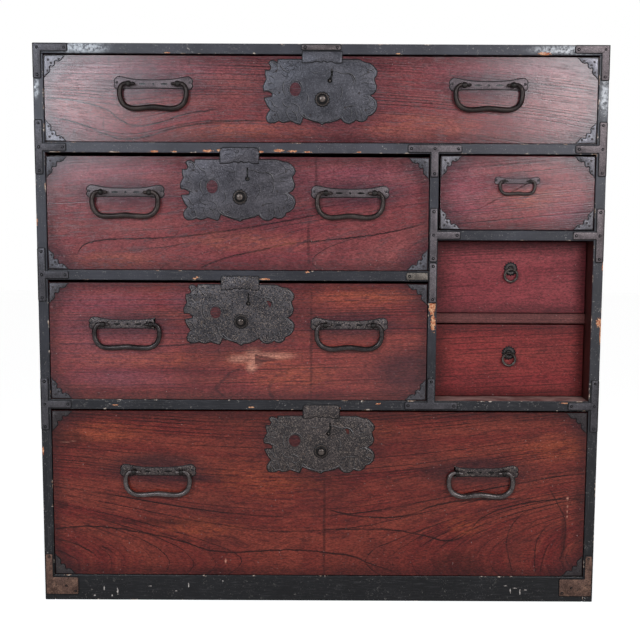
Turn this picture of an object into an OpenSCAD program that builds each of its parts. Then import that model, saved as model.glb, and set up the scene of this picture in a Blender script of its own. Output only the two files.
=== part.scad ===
// Merchant chest: a lacquered case with five iron-bound drawers and an open
// compartment that holds two small inner drawers. The case stands on its side
// boards and base rail. The origin is the middle of its foot, +Z up, front to -Y.

/* [Case] */
// Width over the side boards
case_w = 900; // [780:5:1100]
// Depth from the front edges to the outside of the back
case_d = 430; // [360:5:520]
// Thickness of the side boards
side_t = 16; // [14:1:20]
// Thickness of the top board
top_t = 16; // [14:1:22]
// Thickness of the back planks
back_t = 9; // [6:1:14]
// Number of back planks
back_planks = 4; // [3:1:6]
// Thickness of each shelf board between the drawers
shelf_t = 16; // [14:1:22]
// Thickness of the upright divider
divider_t = 14; // [12:1:20]
// Middle of the upright divider, measured from the middle of the case
divider_x = 179.5; // [150:0.5:210]
// Height of the base rail at the front
base_rail_h = 43; // [38:1:60]
// Thickness of the base rail, front to back
base_rail_t = 20; // [14:1:30]
// Thickness of the board under the bottom drawer
base_board_t = 12; // [8:1:18]

/* [Bays] */
// Height of the bottom drawer's bay
bottom_bay_h = 276; // [240:1:320]
// Height of the lower left drawer's bay
lower_bay_h = 193; // [175:1:230]
// Height of the upper left drawer's bay
upper_bay_h = 185; // [170:1:220]
// Height of the top drawer's bay
top_bay_h = 136.5; // [120:0.5:170]
// Height of the small drawer's bay, upper right
small_bay_h = 119.5; // [105:0.5:140]
// Height of the lower inner drawer's bay
inner_bay_h = 122; // [100:1:135]
// Depth of the open compartment in front of the inner drawers
recess_d = 40; // [30:1:60]

/* [Drawers] */
// Thickness of a drawer front
front_t = 18; // [15:1:22]
// Thickness of an inner drawer's front
inner_front_t = 13; // [10:1:16]
// Thickness of a drawer's sides and back
box_t = 10; // [7:1:12]
// Thickness of a drawer's bottom
floor_t = 6; // [4:1:9]
// How far a front stands back behind the front edges of the case
front_recess = 0.8; // [0.4:0.1:0.8]
// Gap under a front
front_rise = 1; // [0.5:0.1:2]
// Gap beside a front
front_side_gap = 1.5; // [0.8:0.1:3]
// Gap on the left of the small drawer, which sits over to the right
small_left_gap = 3; // [1:0.1:4]
// How much lower than its front a drawer's sides are
side_drop = 12; // [6:1:20]
// Running gap under a drawer's bottom
run_gap = 0.3; // [0.2:0.1:0.6]
// Hairline between the boards of one drawer box, and between loose irons
joint_gap = 0.1; // [0.05:0.05:0.2]
// Free space behind a closed drawer
tail_gap = 8; // [3:1:20]
// Gap over the top drawer
top_gap = 3; // [2:0.5:6]
// Gap over the upper left drawer
upper_gap = 6; // [2:0.5:6]
// Gap over the lower left drawer
lower_gap = 4.5; // [2:0.5:6]
// Gap over the small drawer
small_gap = 2.5; // [2:0.5:6]
// Gap over the bottom drawer
bottom_gap = 3; // [2:0.5:6]
// Gap over an inner drawer
inner_gap = 2.5; // [1.5:0.5:5]

/* [Irons] */
// Thickness of the plates and straps
iron_t = 1.2; // [0.8:0.1:1.6]
// Width of the straps
strap_w = 13.5; // [10:0.5:14]
// Length of a corner strap's legs
corner_leg = 55; // [40:1:70]
// Length of a tee strap's bar
tee_bar = 86; // [60:1:100]
// Reach of a tee strap's arm, with the bar's width
tee_arm = 50; // [35:1:60]
// Height of the wide foot of a base strap
base_strap_h = 31; // [24:1:33]
// Gap from the floor to a base strap
base_strap_z = 9; // [4:1:12]
// Height to which a base strap's upright reaches
base_strap_top = 79; // [60:1:100]
// Leg of the pierced corner mounts on the drawer fronts
mount_leg = 33; // [25:1:40]
// Radius of a nail's head
nail_r = 1.8; // [1.2:0.1:2.4]

/* [Locks] */
// Half the width of a lock plate's body
lock_half = 80; // [70:1:90]
// From the boss up to the top of a lock plate
lock_up = 59; // [50:1:60]
// From the boss down to the tip of a lock plate
lock_down = 39; // [34:1:46]
// Drop of the top lock's boss below its front's top edge
top_lock_drop = 66; // [61:1:75]
// Drop of the upper left lock's boss below its front's top edge
upper_lock_drop = 63; // [61:1:75]
// Drop of the lower left lock's boss below its front's top edge
lower_lock_drop = 61; // [61:1:75]
// Drop of the bottom lock's boss below its front's top edge
bottom_lock_drop = 65; // [61:1:75]
// Width of a lock's tongue
tongue_w = 63; // [50:1:70]
// How far a tongue laps down over its plate
tongue_lap = 11; // [6:1:14]
// Radius of the knob in the middle of a lock
boss_r = 6; // [4.5:0.1:7]
// How far the knob stands out from its washer
boss_h = 8; // [7:0.5:12]
// Radius of the flower washer under the knob
washer_r = 11.6; // [9:0.1:13]
// Keyhole radius
key_r = 1.9; // [1.4:0.1:2.4]
// Width of the bolt
bolt_w = 12; // [8:1:16]
// Thickness of the bolt
bolt_t = 4; // [3:0.5:5]
// Length of the bolt
bolt_len = 50; // [35:1:60]
// Lift of the bolt when the key is turned
bolt_lift = 11; // [9:0.5:11]
// Free space over a raised bolt in its mortise
mortise_clear = 2.5; // [1:0.5:3]

/* [Handles] */
// Distance between a handle's two posts
post_pitch = 76.5; // [70:0.5:84]
// Half the outer width of a handle, to the middle of its bar
bail_half = 53; // [50:0.5:58]
// Drop of a handle's lowest points below its posts, to the middle of the bar
bail_drop = 36.5; // [32:0.5:45]
// Radius of a handle's bar
bail_r = 3.6; // [2.8:0.1:4.2]
// Radius of the bar's ends, which turn in the posts
bail_end_r = 2.5; // [2:0.1:2.9]
// Clearance of a bar's end in its post
eye_gap = 0.3; // [0.2:0.05:0.4]
// Half the length of the plate behind a handle
backplate_half = 62; // [60:1:68]
// Height of the waist of a handle's plate
backplate_h = 13; // [11:0.5:16]
// Drop of the top drawer's handles below its front's top edge
top_handle_drop = 43.5; // [35:0.5:60]
// Drop of the upper left drawer's handles
upper_handle_drop = 56; // [40:0.5:90]
// Drop of the lower left drawer's handles
lower_handle_drop = 66; // [40:0.5:90]
// Drop of the bottom drawer's handles
bottom_handle_drop = 99; // [60:0.5:130]
// Drop of the small drawer's handle
small_handle_drop = 39.5; // [30:0.5:50]
// Distance from the ends of a full-width drawer's bay to its handles
wide_handle_in = 172; // [130:1:200]
// Distance from the ends of a left drawer's bay to its handles
left_handle_in = 125.75; // [100:0.25:150]
// Size of the small drawer's handle next to the others
small_handle_size = 0.53; // [0.5:0.01:0.6]
// Radius of a ring pull to the middle of its bar
ring_r = 9.6; // [8:0.1:12]
// Radius of a ring pull's bar
ring_bar_r = 1.25; // [1:0.05:1.4]
// Radius of the rosette behind a ring pull
rosette_r = 11.2; // [9:0.1:13]
// Height of a ring pull's staple above its drawer's bottom edge
staple_z = 72; // [55:1:90]

/* [Hidden] */
$fn = 48;

// Heights of the boards, built up from the floor
lower_shelf_z = base_rail_h + bottom_bay_h;
left_shelf_z = lower_shelf_z + shelf_t + lower_bay_h;
upper_shelf_z = left_shelf_z + shelf_t + upper_bay_h;
right_shelf_z = upper_shelf_z - small_bay_h - shelf_t;
inner_shelf_z = lower_shelf_z + shelf_t + inner_bay_h;
top_z = upper_shelf_z + shelf_t + top_bay_h;
case_h = top_z + top_t;

// Places across the case
inner_w = case_w - 2 * side_t;
half = inner_w / 2;
div_l = divider_x - divider_t / 2;
div_r = divider_x + divider_t / 2;
back_y = case_d - back_t;
wide_handle_x = half - wide_handle_in;
left_handle_x = (half + div_l) / 2 - left_handle_in;

// A drawer is a list: left, right, floor and ceiling of its bay, gap over its
// front, gap on the left, set-back of its face, thickness of its front, drop
// of its lock, offsets of its handles from the bay's middle, their drop, and size
TOP = [-half, half, upper_shelf_z + shelf_t, top_z, top_gap, front_side_gap, 0, front_t,
    top_lock_drop, [-wide_handle_x, wide_handle_x], top_handle_drop, 1];
UPPER = [-half, div_l, left_shelf_z + shelf_t, upper_shelf_z, upper_gap, front_side_gap, 0, front_t,
    upper_lock_drop, [-left_handle_x, left_handle_x], upper_handle_drop, 1];
LOWER = [-half, div_l, lower_shelf_z + shelf_t, left_shelf_z, lower_gap, front_side_gap, 0, front_t,
    lower_lock_drop, [-left_handle_x, left_handle_x], lower_handle_drop, 1];
BOTTOM = [-half, half, base_rail_h, lower_shelf_z, bottom_gap, front_side_gap, 0, front_t,
    bottom_lock_drop, [-wide_handle_x, wide_handle_x], bottom_handle_drop, 1];
SMALL = [div_r, half, right_shelf_z + shelf_t, upper_shelf_z, small_gap, small_left_gap, 0, front_t,
    0, [0], small_handle_drop, small_handle_size];
INNER_UPPER = [div_r, half, inner_shelf_z + shelf_t, right_shelf_z, inner_gap, front_side_gap,
    recess_d, inner_front_t, 0, [], 0, 1];
INNER_LOWER = [div_r, half, lower_shelf_z + shelf_t, inner_shelf_z, inner_gap, front_side_gap,
    recess_d, inner_front_t, 0, [], 0, 1];

function mid_x(d) = (d[0] + d[1]) / 2;
function face_x0(d) = d[0] + d[5];
function face_x1(d) = d[1] - front_side_gap;
function face_z0(d) = d[2] + front_rise;
function face_z1(d) = d[3] - d[4];
function face_y(d) = d[6] + front_recess;
function box_y(d) = face_y(d) + d[7];
function lock_z(d) = face_z1(d) - d[8];
function handle_z(d) = face_z1(d) - d[10];
function bolt_z1(d) = face_z1(d) - bolt_top_gap;

// How far a cut runs past the faces that it opens
over = 1;

// Straps: nails sit in from the ends, and their heads stand out a little
nail_inset = 6;
nail_out = 0.5;
strap_gap = 0.5;
tee_stem = 45;
base_strap_in = 1;

// Corner mounts stand in from the edges of their front
mount_inset = 0.4;
mount_t = iron_t - 0.2;

// Locks: the plate lies on the front's face, and the tongue on the plate
plate_y = front_recess - iron_t;
washer_t = 0.9;
bolt_y = 8;
bolt_gap = 0.3;
bolt_shift = 4;
bolt_top_gap = 1;
key_x = 11.8;
key_z = 28.8;
key_slot_h = 12;
mortise_gap = 1.5;
// How far each tongue reaches up over the rail above its drawer
top_tongue_up = 8;
upper_tongue_up = 15;
tongue_up = 12;

// Handles: the bar's ends turn in eyes that stand in front of the plate
eye_wall = 2.2;
eye_r = bail_end_r + eye_gap + eye_wall;
eye_w = 5;
shank_r = 2.5;
shank_gap = 0.1;
clench_t = 1.5;
clench_r = 5;

// Ring pulls: the ring hangs in a small eye in front of its rosette
loop_bar = 0.9;
loop_r = ring_bar_r + 0.25 + loop_bar;

// A board between two corners. Depth runs back from the front edges of the case
module board(x0, x1, y0, y1, z0, z1) {
    translate([x0, y0 - case_d / 2, z0])
        cube([x1 - x0, y1 - y0, z1 - z0]);
}

// Puts a flat outline, drawn as seen from the front, on a face at depth y
module on_face(x, y, z, t = iron_t) {
    translate([x, y - case_d / 2 + t, z])
        rotate([90, 0, 0])
            linear_extrude(t)
                children();
}

// A round bar that runs back from depth y
module rod_back(x, y, z, r, length) {
    translate([x, y - case_d / 2, z])
        rotate([-90, 0, 0])
            cylinder(r = r, h = length);
}

// The pocket in a board's underside that a raised bolt enters
module mortise(d) {
    bx = mid_x(d) + bolt_shift;
    board(bx - bolt_w / 2 - mortise_gap, bx + bolt_w / 2 + mortise_gap,
        bolt_y - mortise_gap, bolt_y + bolt_t + mortise_gap,
        d[3] - over, bolt_z1(d) + bolt_lift + mortise_clear);
}

// Case

module side(x0) {
    color([0.11, 0.11, 0.13])
        board(x0, x0 + side_t, 0, case_d, 0, top_z);
}

module top_board() {
    color([0.13, 0.13, 0.15])
        difference() {
            board(-case_w / 2, case_w / 2, 0, case_d, top_z, case_h);
            mortise(TOP);
        }
}

module back_boards() {
    pitch = inner_w / back_planks;
    color([0.35, 0.24, 0.17])
        for (i = [0 : back_planks - 1])
            board(-half + i * pitch + (i > 0 ? 0.5 : 0), -half + (i + 1) * pitch,
                back_y, case_d, base_rail_h - base_board_t, top_z);
}

module base_board() {
    color([0.35, 0.24, 0.17])
        board(-half, half, base_rail_t, back_y, base_rail_h - base_board_t, base_rail_h);
}

module base_rail() {
    color([0.11, 0.11, 0.13])
        board(-half, half, 0, base_rail_t, 0, base_rail_h);
}

module upper_shelf() {
    color([0.13, 0.13, 0.15])
        difference() {
            board(-half, half, 0, back_y, upper_shelf_z, upper_shelf_z + shelf_t);
            mortise(UPPER);
        }
}

module left_shelf() {
    color([0.13, 0.13, 0.15])
        difference() {
            board(-half, div_l, 0, back_y, left_shelf_z, left_shelf_z + shelf_t);
            mortise(LOWER);
        }
}

module right_shelf() {
    color([0.13, 0.13, 0.15])
        board(div_r, half, 0, back_y, right_shelf_z, right_shelf_z + shelf_t);
}

module lower_shelf() {
    color([0.12, 0.12, 0.13])
        difference() {
            board(-half, half, 0, back_y, lower_shelf_z, lower_shelf_z + shelf_t);
            mortise(BOTTOM);
        }
}

module centre_divider() {
    color([0.13, 0.13, 0.15])
        board(div_l, div_r, 0, back_y, lower_shelf_z + shelf_t, upper_shelf_z);
}

module inner_shelf() {
    color([0.45, 0.28, 0.25])
        board(div_r, half, recess_d, back_y, inner_shelf_z, inner_shelf_z + shelf_t);
}

// Straps on the front edges of the case, each with its nails

// A flat outline with clipped corners
module clipped(x0, x1, z0, z1, clip = 2.5) {
    polygon([[x0 + clip, z0], [x1 - clip, z0], [x1, z0 + clip], [x1, z1 - clip],
        [x1 - clip, z1], [x0 + clip, z1], [x0, z1 - clip], [x0, z0 + clip]]);
}

// A strap of two crossing bars, nailed at the given points
module strap(bars, nails) {
    on_face(0, -iron_t, 0)
        difference() {
            for (b = bars)
                clipped(b[0], b[1], b[2], b[3]);
            for (n = nails)
                translate(n)
                    circle(r = nail_r + joint_gap);
        }
    for (n = nails)
        rod_back(n[0], -iron_t - nail_out, n[1], nail_r, iron_t + nail_out);
}

module corner_strap_top(side) {
    x = side * case_w / 2;
    near = x - side * strap_w;
    far = x - side * corner_leg;
    strap([[min(x, far), max(x, far), case_h - strap_w, case_h],
        [min(x, near), max(x, near), case_h - corner_leg, case_h]],
        [[(x + near) / 2, case_h - strap_w / 2], [far + side * nail_inset, case_h - strap_w / 2],
        [(x + near) / 2, case_h - corner_leg + nail_inset]]);
}

module corner_strap_base(side) {
    x = side * (case_w / 2 - base_strap_in);
    near = x - side * strap_w;
    far = x - side * corner_leg;
    strap([[min(x, far), max(x, far), base_strap_z, base_strap_z + base_strap_h],
        [min(x, near), max(x, near), base_strap_z, base_strap_top]],
        [[far + side * nail_inset, base_strap_z + nail_inset],
        [(x + near) / 2, base_strap_top - nail_inset],
        [(near + far) / 2, base_strap_z + base_strap_h / 2]]);
}

module corner_straps() {
    color([0.25, 0.23, 0.24]) {
        corner_strap_top(-1);
        corner_strap_top(1);
    }
    color([0.38, 0.28, 0.24]) {
        corner_strap_base(-1);
        corner_strap_base(1);
    }
}

// A tee on a stile at the height of the board over z
module stile_tee(side, z) {
    x = side * case_w / 2;
    near = x - side * strap_w;
    far = x - side * tee_arm;
    mid = z + shelf_t / 2;
    strap([[min(x, near), max(x, near), mid - tee_bar / 2, mid + tee_bar / 2],
        [min(x, far), max(x, far), mid - strap_w / 2, mid + strap_w / 2]],
        [[(x + near) / 2, mid - tee_bar / 2 + nail_inset], [(x + near) / 2, mid],
        [(x + near) / 2, mid + tee_bar / 2 - nail_inset], [far + side * nail_inset, mid]]);
}

// A bar up or down the divider with a cross arm over the boards beside it
module divider_strap(z_low, z_high, x_left, x_right, z_mid) {
    w = min(strap_w, divider_t);
    strap([[divider_x - w / 2, divider_x + w / 2, z_low, z_high],
        [x_left, x_right, z_mid - strap_w / 2, z_mid + strap_w / 2]],
        [[divider_x, z_low + nail_inset], [divider_x, z_high - nail_inset],
        [x_left < divider_x - w ? x_left + nail_inset : x_right - nail_inset, z_mid]]);
}

module tee_straps() {
    upper_mid = upper_shelf_z + shelf_t / 2;
    right_mid = right_shelf_z + shelf_t / 2;
    left_mid = left_shelf_z + shelf_t / 2;
    lower_mid = lower_shelf_z + shelf_t / 2;
    w = min(strap_w, divider_t);
    right_low = right_mid - tee_bar / 2;
    color([0.24, 0.23, 0.25]) {
        for (z = [upper_shelf_z, left_shelf_z, lower_shelf_z])
            stile_tee(-1, z);
        for (z = [upper_shelf_z, right_shelf_z, lower_shelf_z])
            stile_tee(1, z);
        divider_strap(upper_mid - tee_stem, upper_mid + strap_w / 2,
            divider_x - tee_bar / 2, divider_x + tee_bar / 2, upper_mid);
        divider_strap(right_low, right_mid + tee_bar / 2,
            divider_x - w / 2, divider_x + tee_arm - w / 2, right_mid);
        divider_strap(left_mid - tee_bar / 2, right_low - strap_gap,
            divider_x - tee_arm + w / 2, divider_x + w / 2, left_mid);
        divider_strap(lower_mid - strap_w / 2, lower_mid + tee_stem,
            divider_x - tee_bar / 2, divider_x + tee_bar / 2, lower_mid);
    }
}

// The plate on the top board's edge, just over the top lock's tongue
module keeper_plate() {
    low = face_z1(TOP) + top_tongue_up + strap_gap;
    color([0.36, 0.29, 0.28])
        on_face(mid_x(TOP), -iron_t, 0)
            clipped(-tongue_w / 2, tongue_w / 2, low, case_h, 1);
}

// Drawers

// The slot in a front that holds the bolt, open at the front's top edge
module bolt_slot(d) {
    bx = mid_x(d) + bolt_shift;
    board(bx - bolt_w / 2 - bolt_gap, bx + bolt_w / 2 + bolt_gap,
        bolt_y - bolt_gap, bolt_y + bolt_t + bolt_gap,
        bolt_z1(d) - bolt_len - bolt_gap, face_z1(d) + over);
}

// The places of a drawer's handle posts across its front
function post_xs(d) = [for (h = d[9]) for (s = [-1, 1]) mid_x(d) + h + s * d[11] * post_pitch / 2];

module drawer_front(d, locked = false) {
    color([0.48, 0.20, 0.19])
        difference() {
            board(face_x0(d), face_x1(d), face_y(d), box_y(d), face_z0(d), face_z1(d));
            for (x = post_xs(d))
                rod_back(x, face_y(d) - over, handle_z(d), d[11] * shank_r + shank_gap, d[7] + 2 * over);
            if (locked) {
                bolt_slot(d);
                rod_back(mid_x(d) + key_x, face_y(d) - over, lock_z(d) + key_z, key_r,
                    bolt_y + over - face_y(d));
            }
            if (d[6] > 0)
                rod_back(mid_x(d), face_y(d) - over, face_z0(d) + staple_z,
                    ring_bar_r + shank_gap, d[7] + 2 * over);
        }
}

module drawer_box(d) {
    x0 = face_x0(d) + 1;
    x1 = face_x1(d) - 1;
    z0 = d[2] + run_gap;
    z1 = face_z1(d) - side_drop;
    y1 = back_y - tail_gap;
    low = z0 + floor_t + joint_gap;
    color([0.62, 0.47, 0.32]) {
        board(x0, x1, box_y(d), y1, z0, z0 + floor_t);
        board(x0, x0 + box_t, box_y(d), y1, low, z1);
        board(x1 - box_t, x1, box_y(d), y1, low, z1);
        board(x0 + box_t + joint_gap, x1 - box_t - joint_gap, y1 - box_t, y1, low, z1);
    }
}

// One pierced corner mount, drawn for the lower left corner
module corner_outline() {
    m = mount_leg;
    difference() {
        union() {
            polygon([[0, 0], [m, 0], [0.80 * m, 0.20 * m], [0.52 * m, 0.20 * m],
                [0.20 * m, 0.52 * m], [0.20 * m, 0.80 * m], [0, m]]);
            translate([0.70 * m, 0.16 * m])
                circle(r = 0.16 * m);
            translate([0.16 * m, 0.70 * m])
                circle(r = 0.16 * m);
            translate([0.30 * m, 0.30 * m])
                circle(r = 0.17 * m);
        }
        for (p = [[0.70, 0.16], [0.16, 0.70]])
            translate([p[0] * m, p[1] * m])
                circle(r = 0.07 * m);
        translate([0.24 * m, 0.24 * m])
            circle(r = 0.06 * m);
    }
}

module drawer_corners(d) {
    color([0.30, 0.29, 0.32])
        for (sx = [-1, 1])
            for (sz = [-1, 1])
                on_face(sx < 0 ? face_x0(d) + mount_inset : face_x1(d) - mount_inset,
                    front_recess - mount_t,
                    sz < 0 ? face_z0(d) + mount_inset : face_z1(d) - mount_inset, mount_t)
                    scale([-sx, -sz])
                        corner_outline();
}

// Locks

module lock_outline() {
    h = lock_half;
    u = lock_up;
    v = lock_down;
    difference() {
        union() {
            polygon([[-0.85 * h, u], [0.72 * h, u], [0.86 * h, 0.95 * u], [0.93 * h, 0.75 * u],
                [0.93 * h, -0.1 * u], [0.78 * h, -0.62 * v], [0.36 * h, -0.70 * v],
                [0.25 * h, -0.82 * v], [0.10 * h, -0.90 * v], [0, -v], [-0.10 * h, -0.90 * v],
                [-0.26 * h, -0.82 * v], [-0.34 * h, -0.66 * v], [-0.42 * h, -0.97 * v],
                [-0.53 * h, -0.90 * v], [-0.66 * h, -0.84 * v], [-0.78 * h, -0.88 * v],
                [-0.88 * h, -0.82 * v], [-1.04 * h, -0.90 * v], [-1.06 * h, -0.60 * v],
                [-1.00 * h, -0.42 * v], [-1.10 * h, -0.10 * v], [-1.13 * h, 0.10 * v],
                [-0.97 * h, 0.10 * v], [-0.97 * h, 0.30 * v], [-1.13 * h, 0.34 * v],
                [-1.11 * h, 0.70 * u], [-1.02 * h, 0.78 * u], [-1.05 * h, 0.93 * u]]);
            translate([0.94 * h, 0.71 * u])
                circle(r = 9);
            translate([0.95 * h, 0.38 * u])
                circle(r = 9);
            translate([0.90 * h, -0.17 * u])
                circle(r = 13.5);
            translate([0.78 * h, -0.68 * v])
                circle(r = 9.3);
            translate([0.51 * h, -0.72 * v])
                circle(r = 8.5);
        }
        translate([-0.53 * h, 0.23 * u])
            circle(r = 10.4);
        translate([-0.53 * h, 0.30 * u])
            circle(r = 10.4);
        translate([key_x, key_z])
            circle(r = key_r);
        translate([key_x, key_z])
            square([1.8, key_slot_h]);
    }
}

module lock(d, up) {
    x = mid_x(d);
    z = lock_z(d);
    top = face_z1(d);
    color([0.27, 0.26, 0.29]) {
        on_face(x, plate_y, z)
            lock_outline();
        on_face(x, plate_y - iron_t - joint_gap, 0)
            clipped(-tongue_w / 2, tongue_w / 2, top - tongue_lap, top + up, 1.5);
    }
    color([0.20, 0.18, 0.18])
        on_face(x, plate_y - washer_t - joint_gap, z, washer_t) {
            circle(r = 0.84 * washer_r);
            for (a = [0 : 45 : 315])
                rotate(a)
                    translate([0.78 * washer_r, 0])
                        circle(r = 0.22 * washer_r);
        }
    color([0.55, 0.54, 0.52])
        translate([x, plate_y - washer_t - 2 * joint_gap - case_d / 2, z])
            rotate([90, 0, 0]) {
                cylinder(r = boss_r, h = boss_h - boss_r);
                translate([0, 0, boss_h - boss_r])
                    intersection() {
                        sphere(r = boss_r);
                        cylinder(r = boss_r + 1, h = boss_r + 1);
                    }
            }
}

module lock_bolt(d) {
    bx = mid_x(d) + bolt_shift;
    color([0.30, 0.27, 0.26])
        board(bx - bolt_w / 2, bx + bolt_w / 2, bolt_y, bolt_y + bolt_t,
            bolt_z1(d) - bolt_len, bolt_z1(d));
}

// Handles

// The plate behind a handle, with a round lobe at each end
module backplate_outline() {
    lobe = 0.82 * backplate_h;
    difference() {
        union() {
            square([2 * (backplate_half - lobe), backplate_h], center = true);
            for (s = [-1, 1])
                translate([s * (backplate_half - lobe), 0])
                    circle(r = lobe);
        }
        for (s = [-1, 1])
            translate([s * post_pitch / 2, 0])
                circle(r = shank_r + 0.5);
    }
}

// How far in front of a drawer's face a handle of size s turns
function pivot_y(s) = iron_t + joint_gap + s * eye_r;

// A post of size s: an eye in front, a shank through the plate and a drawer
// front of thickness t, and the clenched end behind
module post(s, t) {
    difference() {
        translate([0, -pivot_y(s), 0]) {
            rotate([0, 90, 0])
                cylinder(r = s * eye_r, h = s * eye_w, center = true);
            rotate([-90, 0, 0])
                cylinder(r = s * shank_r, h = pivot_y(s) + t + clench_t);
        }
        translate([0, -pivot_y(s), 0])
            rotate([0, 90, 0])
                cylinder(r = s * bail_end_r + eye_gap, h = eye_w + 2, center = true);
    }
    translate([0, t + joint_gap, 0])
        rotate([-90, 0, 0])
            cylinder(r = s * clench_r, h = clench_t);
}

module handle_mounts(d) {
    s = d[11];
    for (h = d[9]) {
        color([0.28, 0.27, 0.28])
            translate([mid_x(d) + h, front_recess - case_d / 2, handle_z(d)])
                rotate([90, 0, 0])
                    linear_extrude(iron_t)
                        scale(s)
                            backplate_outline();
        color([0.16, 0.15, 0.15])
            for (side = [-1, 1])
                translate([mid_x(d) + h + side * s * post_pitch / 2,
                    front_recess - case_d / 2, handle_z(d)])
                    post(s, d[7]);
    }
}

// Points of an arc in the plane of the front, each with the angle at which the
// bar's section stands. Turn is 1 where the arc bends one way, -1 the other
function arc(x, z, r, a0, a1, n, turn = 1) =
    [for (i = [0 : n - 1]) let (a = a0 + (a1 - a0) * i / n)
        [x + r * cos(a), z + r * sin(a), turn > 0 ? a : a + 180]];

// The line of a drop handle's bar, from its right end round to its left
function bail_line() =
    let (end_x = post_pitch / 2 + eye_w / 2 + 2, top_r = bail_half - end_x,
        low_r = 0.57 * bail_drop, rise = 20, low_x = bail_half - low_r, low_z = low_r - bail_drop,
        join_x = low_x - low_r * sin(rise), join_z = low_z - low_r * cos(rise),
        mid_r = join_x / sin(rise))
    concat(arc(end_x, -top_r, top_r, 90, 0, 6), arc(low_x, low_z, low_r, 0, -90 - rise, 9),
        arc(0, join_z - mid_r * cos(rise), mid_r, 90 - rise, 90 + rise, 6, -1),
        arc(-low_x, low_z, low_r, rise - 90, -180, 9), arc(-end_x, -top_r, top_r, 180, 90, 6),
        [[-end_x, 0, 90]]);

// A round bar along a line of such points
module bar(line, r, sides = 12) {
    n = len(line);
    points = [for (p = line) for (j = [0 : sides - 1]) let (a = 360 * j / sides)
        [p[0] + r * cos(a) * cos(p[2]), r * sin(a), p[1] + r * cos(a) * sin(p[2])]];
    skin = [for (i = [0 : n - 2]) for (j = [0 : sides - 1]) let (k = (j + 1) % sides)
        [i * sides + j, i * sides + k, (i + 1) * sides + k, (i + 1) * sides + j]];
    polyhedron(points, concat(skin, [[for (j = [sides - 1 : -1 : 0]) j]],
        [[for (j = [0 : sides - 1]) (n - 1) * sides + j]]));
}

module bail(d, i) {
    color([0.33, 0.32, 0.33])
        translate([mid_x(d) + d[9][i], front_recess - pivot_y(d[11]) - case_d / 2, handle_z(d)])
            scale(d[11]) {
                bar(bail_line(), bail_r);
                for (side = [-1, 1])
                    translate([side * post_pitch / 2, 0, 0])
                        rotate([0, 90, 0])
                            cylinder(r = bail_end_r, h = eye_w + 6, center = true);
            }
}

// Ring pulls

module rosette(d) {
    x = mid_x(d);
    z = face_z0(d) + staple_z;
    y = face_y(d);
    loop_y = iron_t + joint_gap + loop_r + loop_bar;
    color([0.24, 0.26, 0.24])
        on_face(x, y - iron_t, z)
            difference() {
                union() {
                    circle(r = 0.9 * rosette_r);
                    for (a = [0 : 22.5 : 337.5])
                        rotate(a)
                            translate([0.86 * rosette_r, 0])
                                circle(r = 0.14 * rosette_r);
                }
                circle(r = ring_bar_r + 2 * joint_gap);
            }
    color([0.20, 0.20, 0.20]) {
        translate([x, y - loop_y - case_d / 2, z])
            rotate([0, 90, 0])
                rotate_extrude()
                    translate([loop_r, 0])
                        circle(r = loop_bar);
        translate([x, y - loop_y + loop_r - case_d / 2, z])
            rotate([-90, 0, 0])
                cylinder(r = ring_bar_r, h = loop_y - loop_r + d[7] + 1);
    }
}

module ring(d) {
    loop_y = iron_t + joint_gap + loop_r + loop_bar;
    color([0.45, 0.45, 0.43])
        translate([mid_x(d), face_y(d) - loop_y - case_d / 2, face_z0(d) + staple_z - ring_r])
            rotate([90, 0, 0])
                rotate_extrude()
                    translate([ring_r, 0])
                        circle(r = ring_bar_r);
}

side(-case_w / 2);  // left_side
side(half);  // right_side
top_board();
back_boards();
base_board();
base_rail();
upper_shelf();
left_shelf();
right_shelf();
lower_shelf();
centre_divider();
inner_shelf();
corner_straps();
tee_straps();
keeper_plate();
drawer_front(TOP, true);  // top_drawer_front
drawer_box(TOP);  // top_drawer_box
drawer_corners(TOP);  // top_drawer_corners
handle_mounts(TOP);  // top_handle_mounts
lock(TOP, top_tongue_up);  // top_lock
lock_bolt(TOP);  // top_lock_bolt
bail(TOP, 0);  // top_bail_left
bail(TOP, 1);  // top_bail_right
drawer_front(UPPER, true);  // upper_drawer_front
drawer_box(UPPER);  // upper_drawer_box
drawer_corners(UPPER);  // upper_drawer_corners
handle_mounts(UPPER);  // upper_handle_mounts
lock(UPPER, upper_tongue_up);  // upper_lock
lock_bolt(UPPER);  // upper_lock_bolt
bail(UPPER, 0);  // upper_bail_left
bail(UPPER, 1);  // upper_bail_right
drawer_front(LOWER, true);  // lower_drawer_front
drawer_box(LOWER);  // lower_drawer_box
drawer_corners(LOWER);  // lower_drawer_corners
handle_mounts(LOWER);  // lower_handle_mounts
lock(LOWER, tongue_up);  // lower_lock
lock_bolt(LOWER);  // lower_lock_bolt
bail(LOWER, 0);  // lower_bail_left
bail(LOWER, 1);  // lower_bail_right
drawer_front(BOTTOM, true);  // bottom_drawer_front
drawer_box(BOTTOM);  // bottom_drawer_box
drawer_corners(BOTTOM);  // bottom_drawer_corners
handle_mounts(BOTTOM);  // bottom_handle_mounts
lock(BOTTOM, tongue_up);  // bottom_lock
lock_bolt(BOTTOM);  // bottom_lock_bolt
bail(BOTTOM, 0);  // bottom_bail_left
bail(BOTTOM, 1);  // bottom_bail_right
drawer_front(SMALL);  // small_drawer_front
drawer_box(SMALL);  // small_drawer_box
drawer_corners(SMALL);  // small_drawer_corners
handle_mounts(SMALL);  // small_handle_mounts
bail(SMALL, 0);  // small_bail
drawer_front(INNER_UPPER);  // inner_upper_front
drawer_box(INNER_UPPER);  // inner_upper_box
rosette(INNER_UPPER);  // inner_upper_rosette
ring(INNER_UPPER);  // inner_upper_ring
drawer_front(INNER_LOWER);  // inner_lower_front
drawer_box(INNER_LOWER);  // inner_lower_box
rosette(INNER_LOWER);  // inner_lower_rosette
ring(INNER_LOWER);  // inner_lower_ring
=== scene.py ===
import math
import random

import bpy
from mathutils import Matrix, Vector


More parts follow.
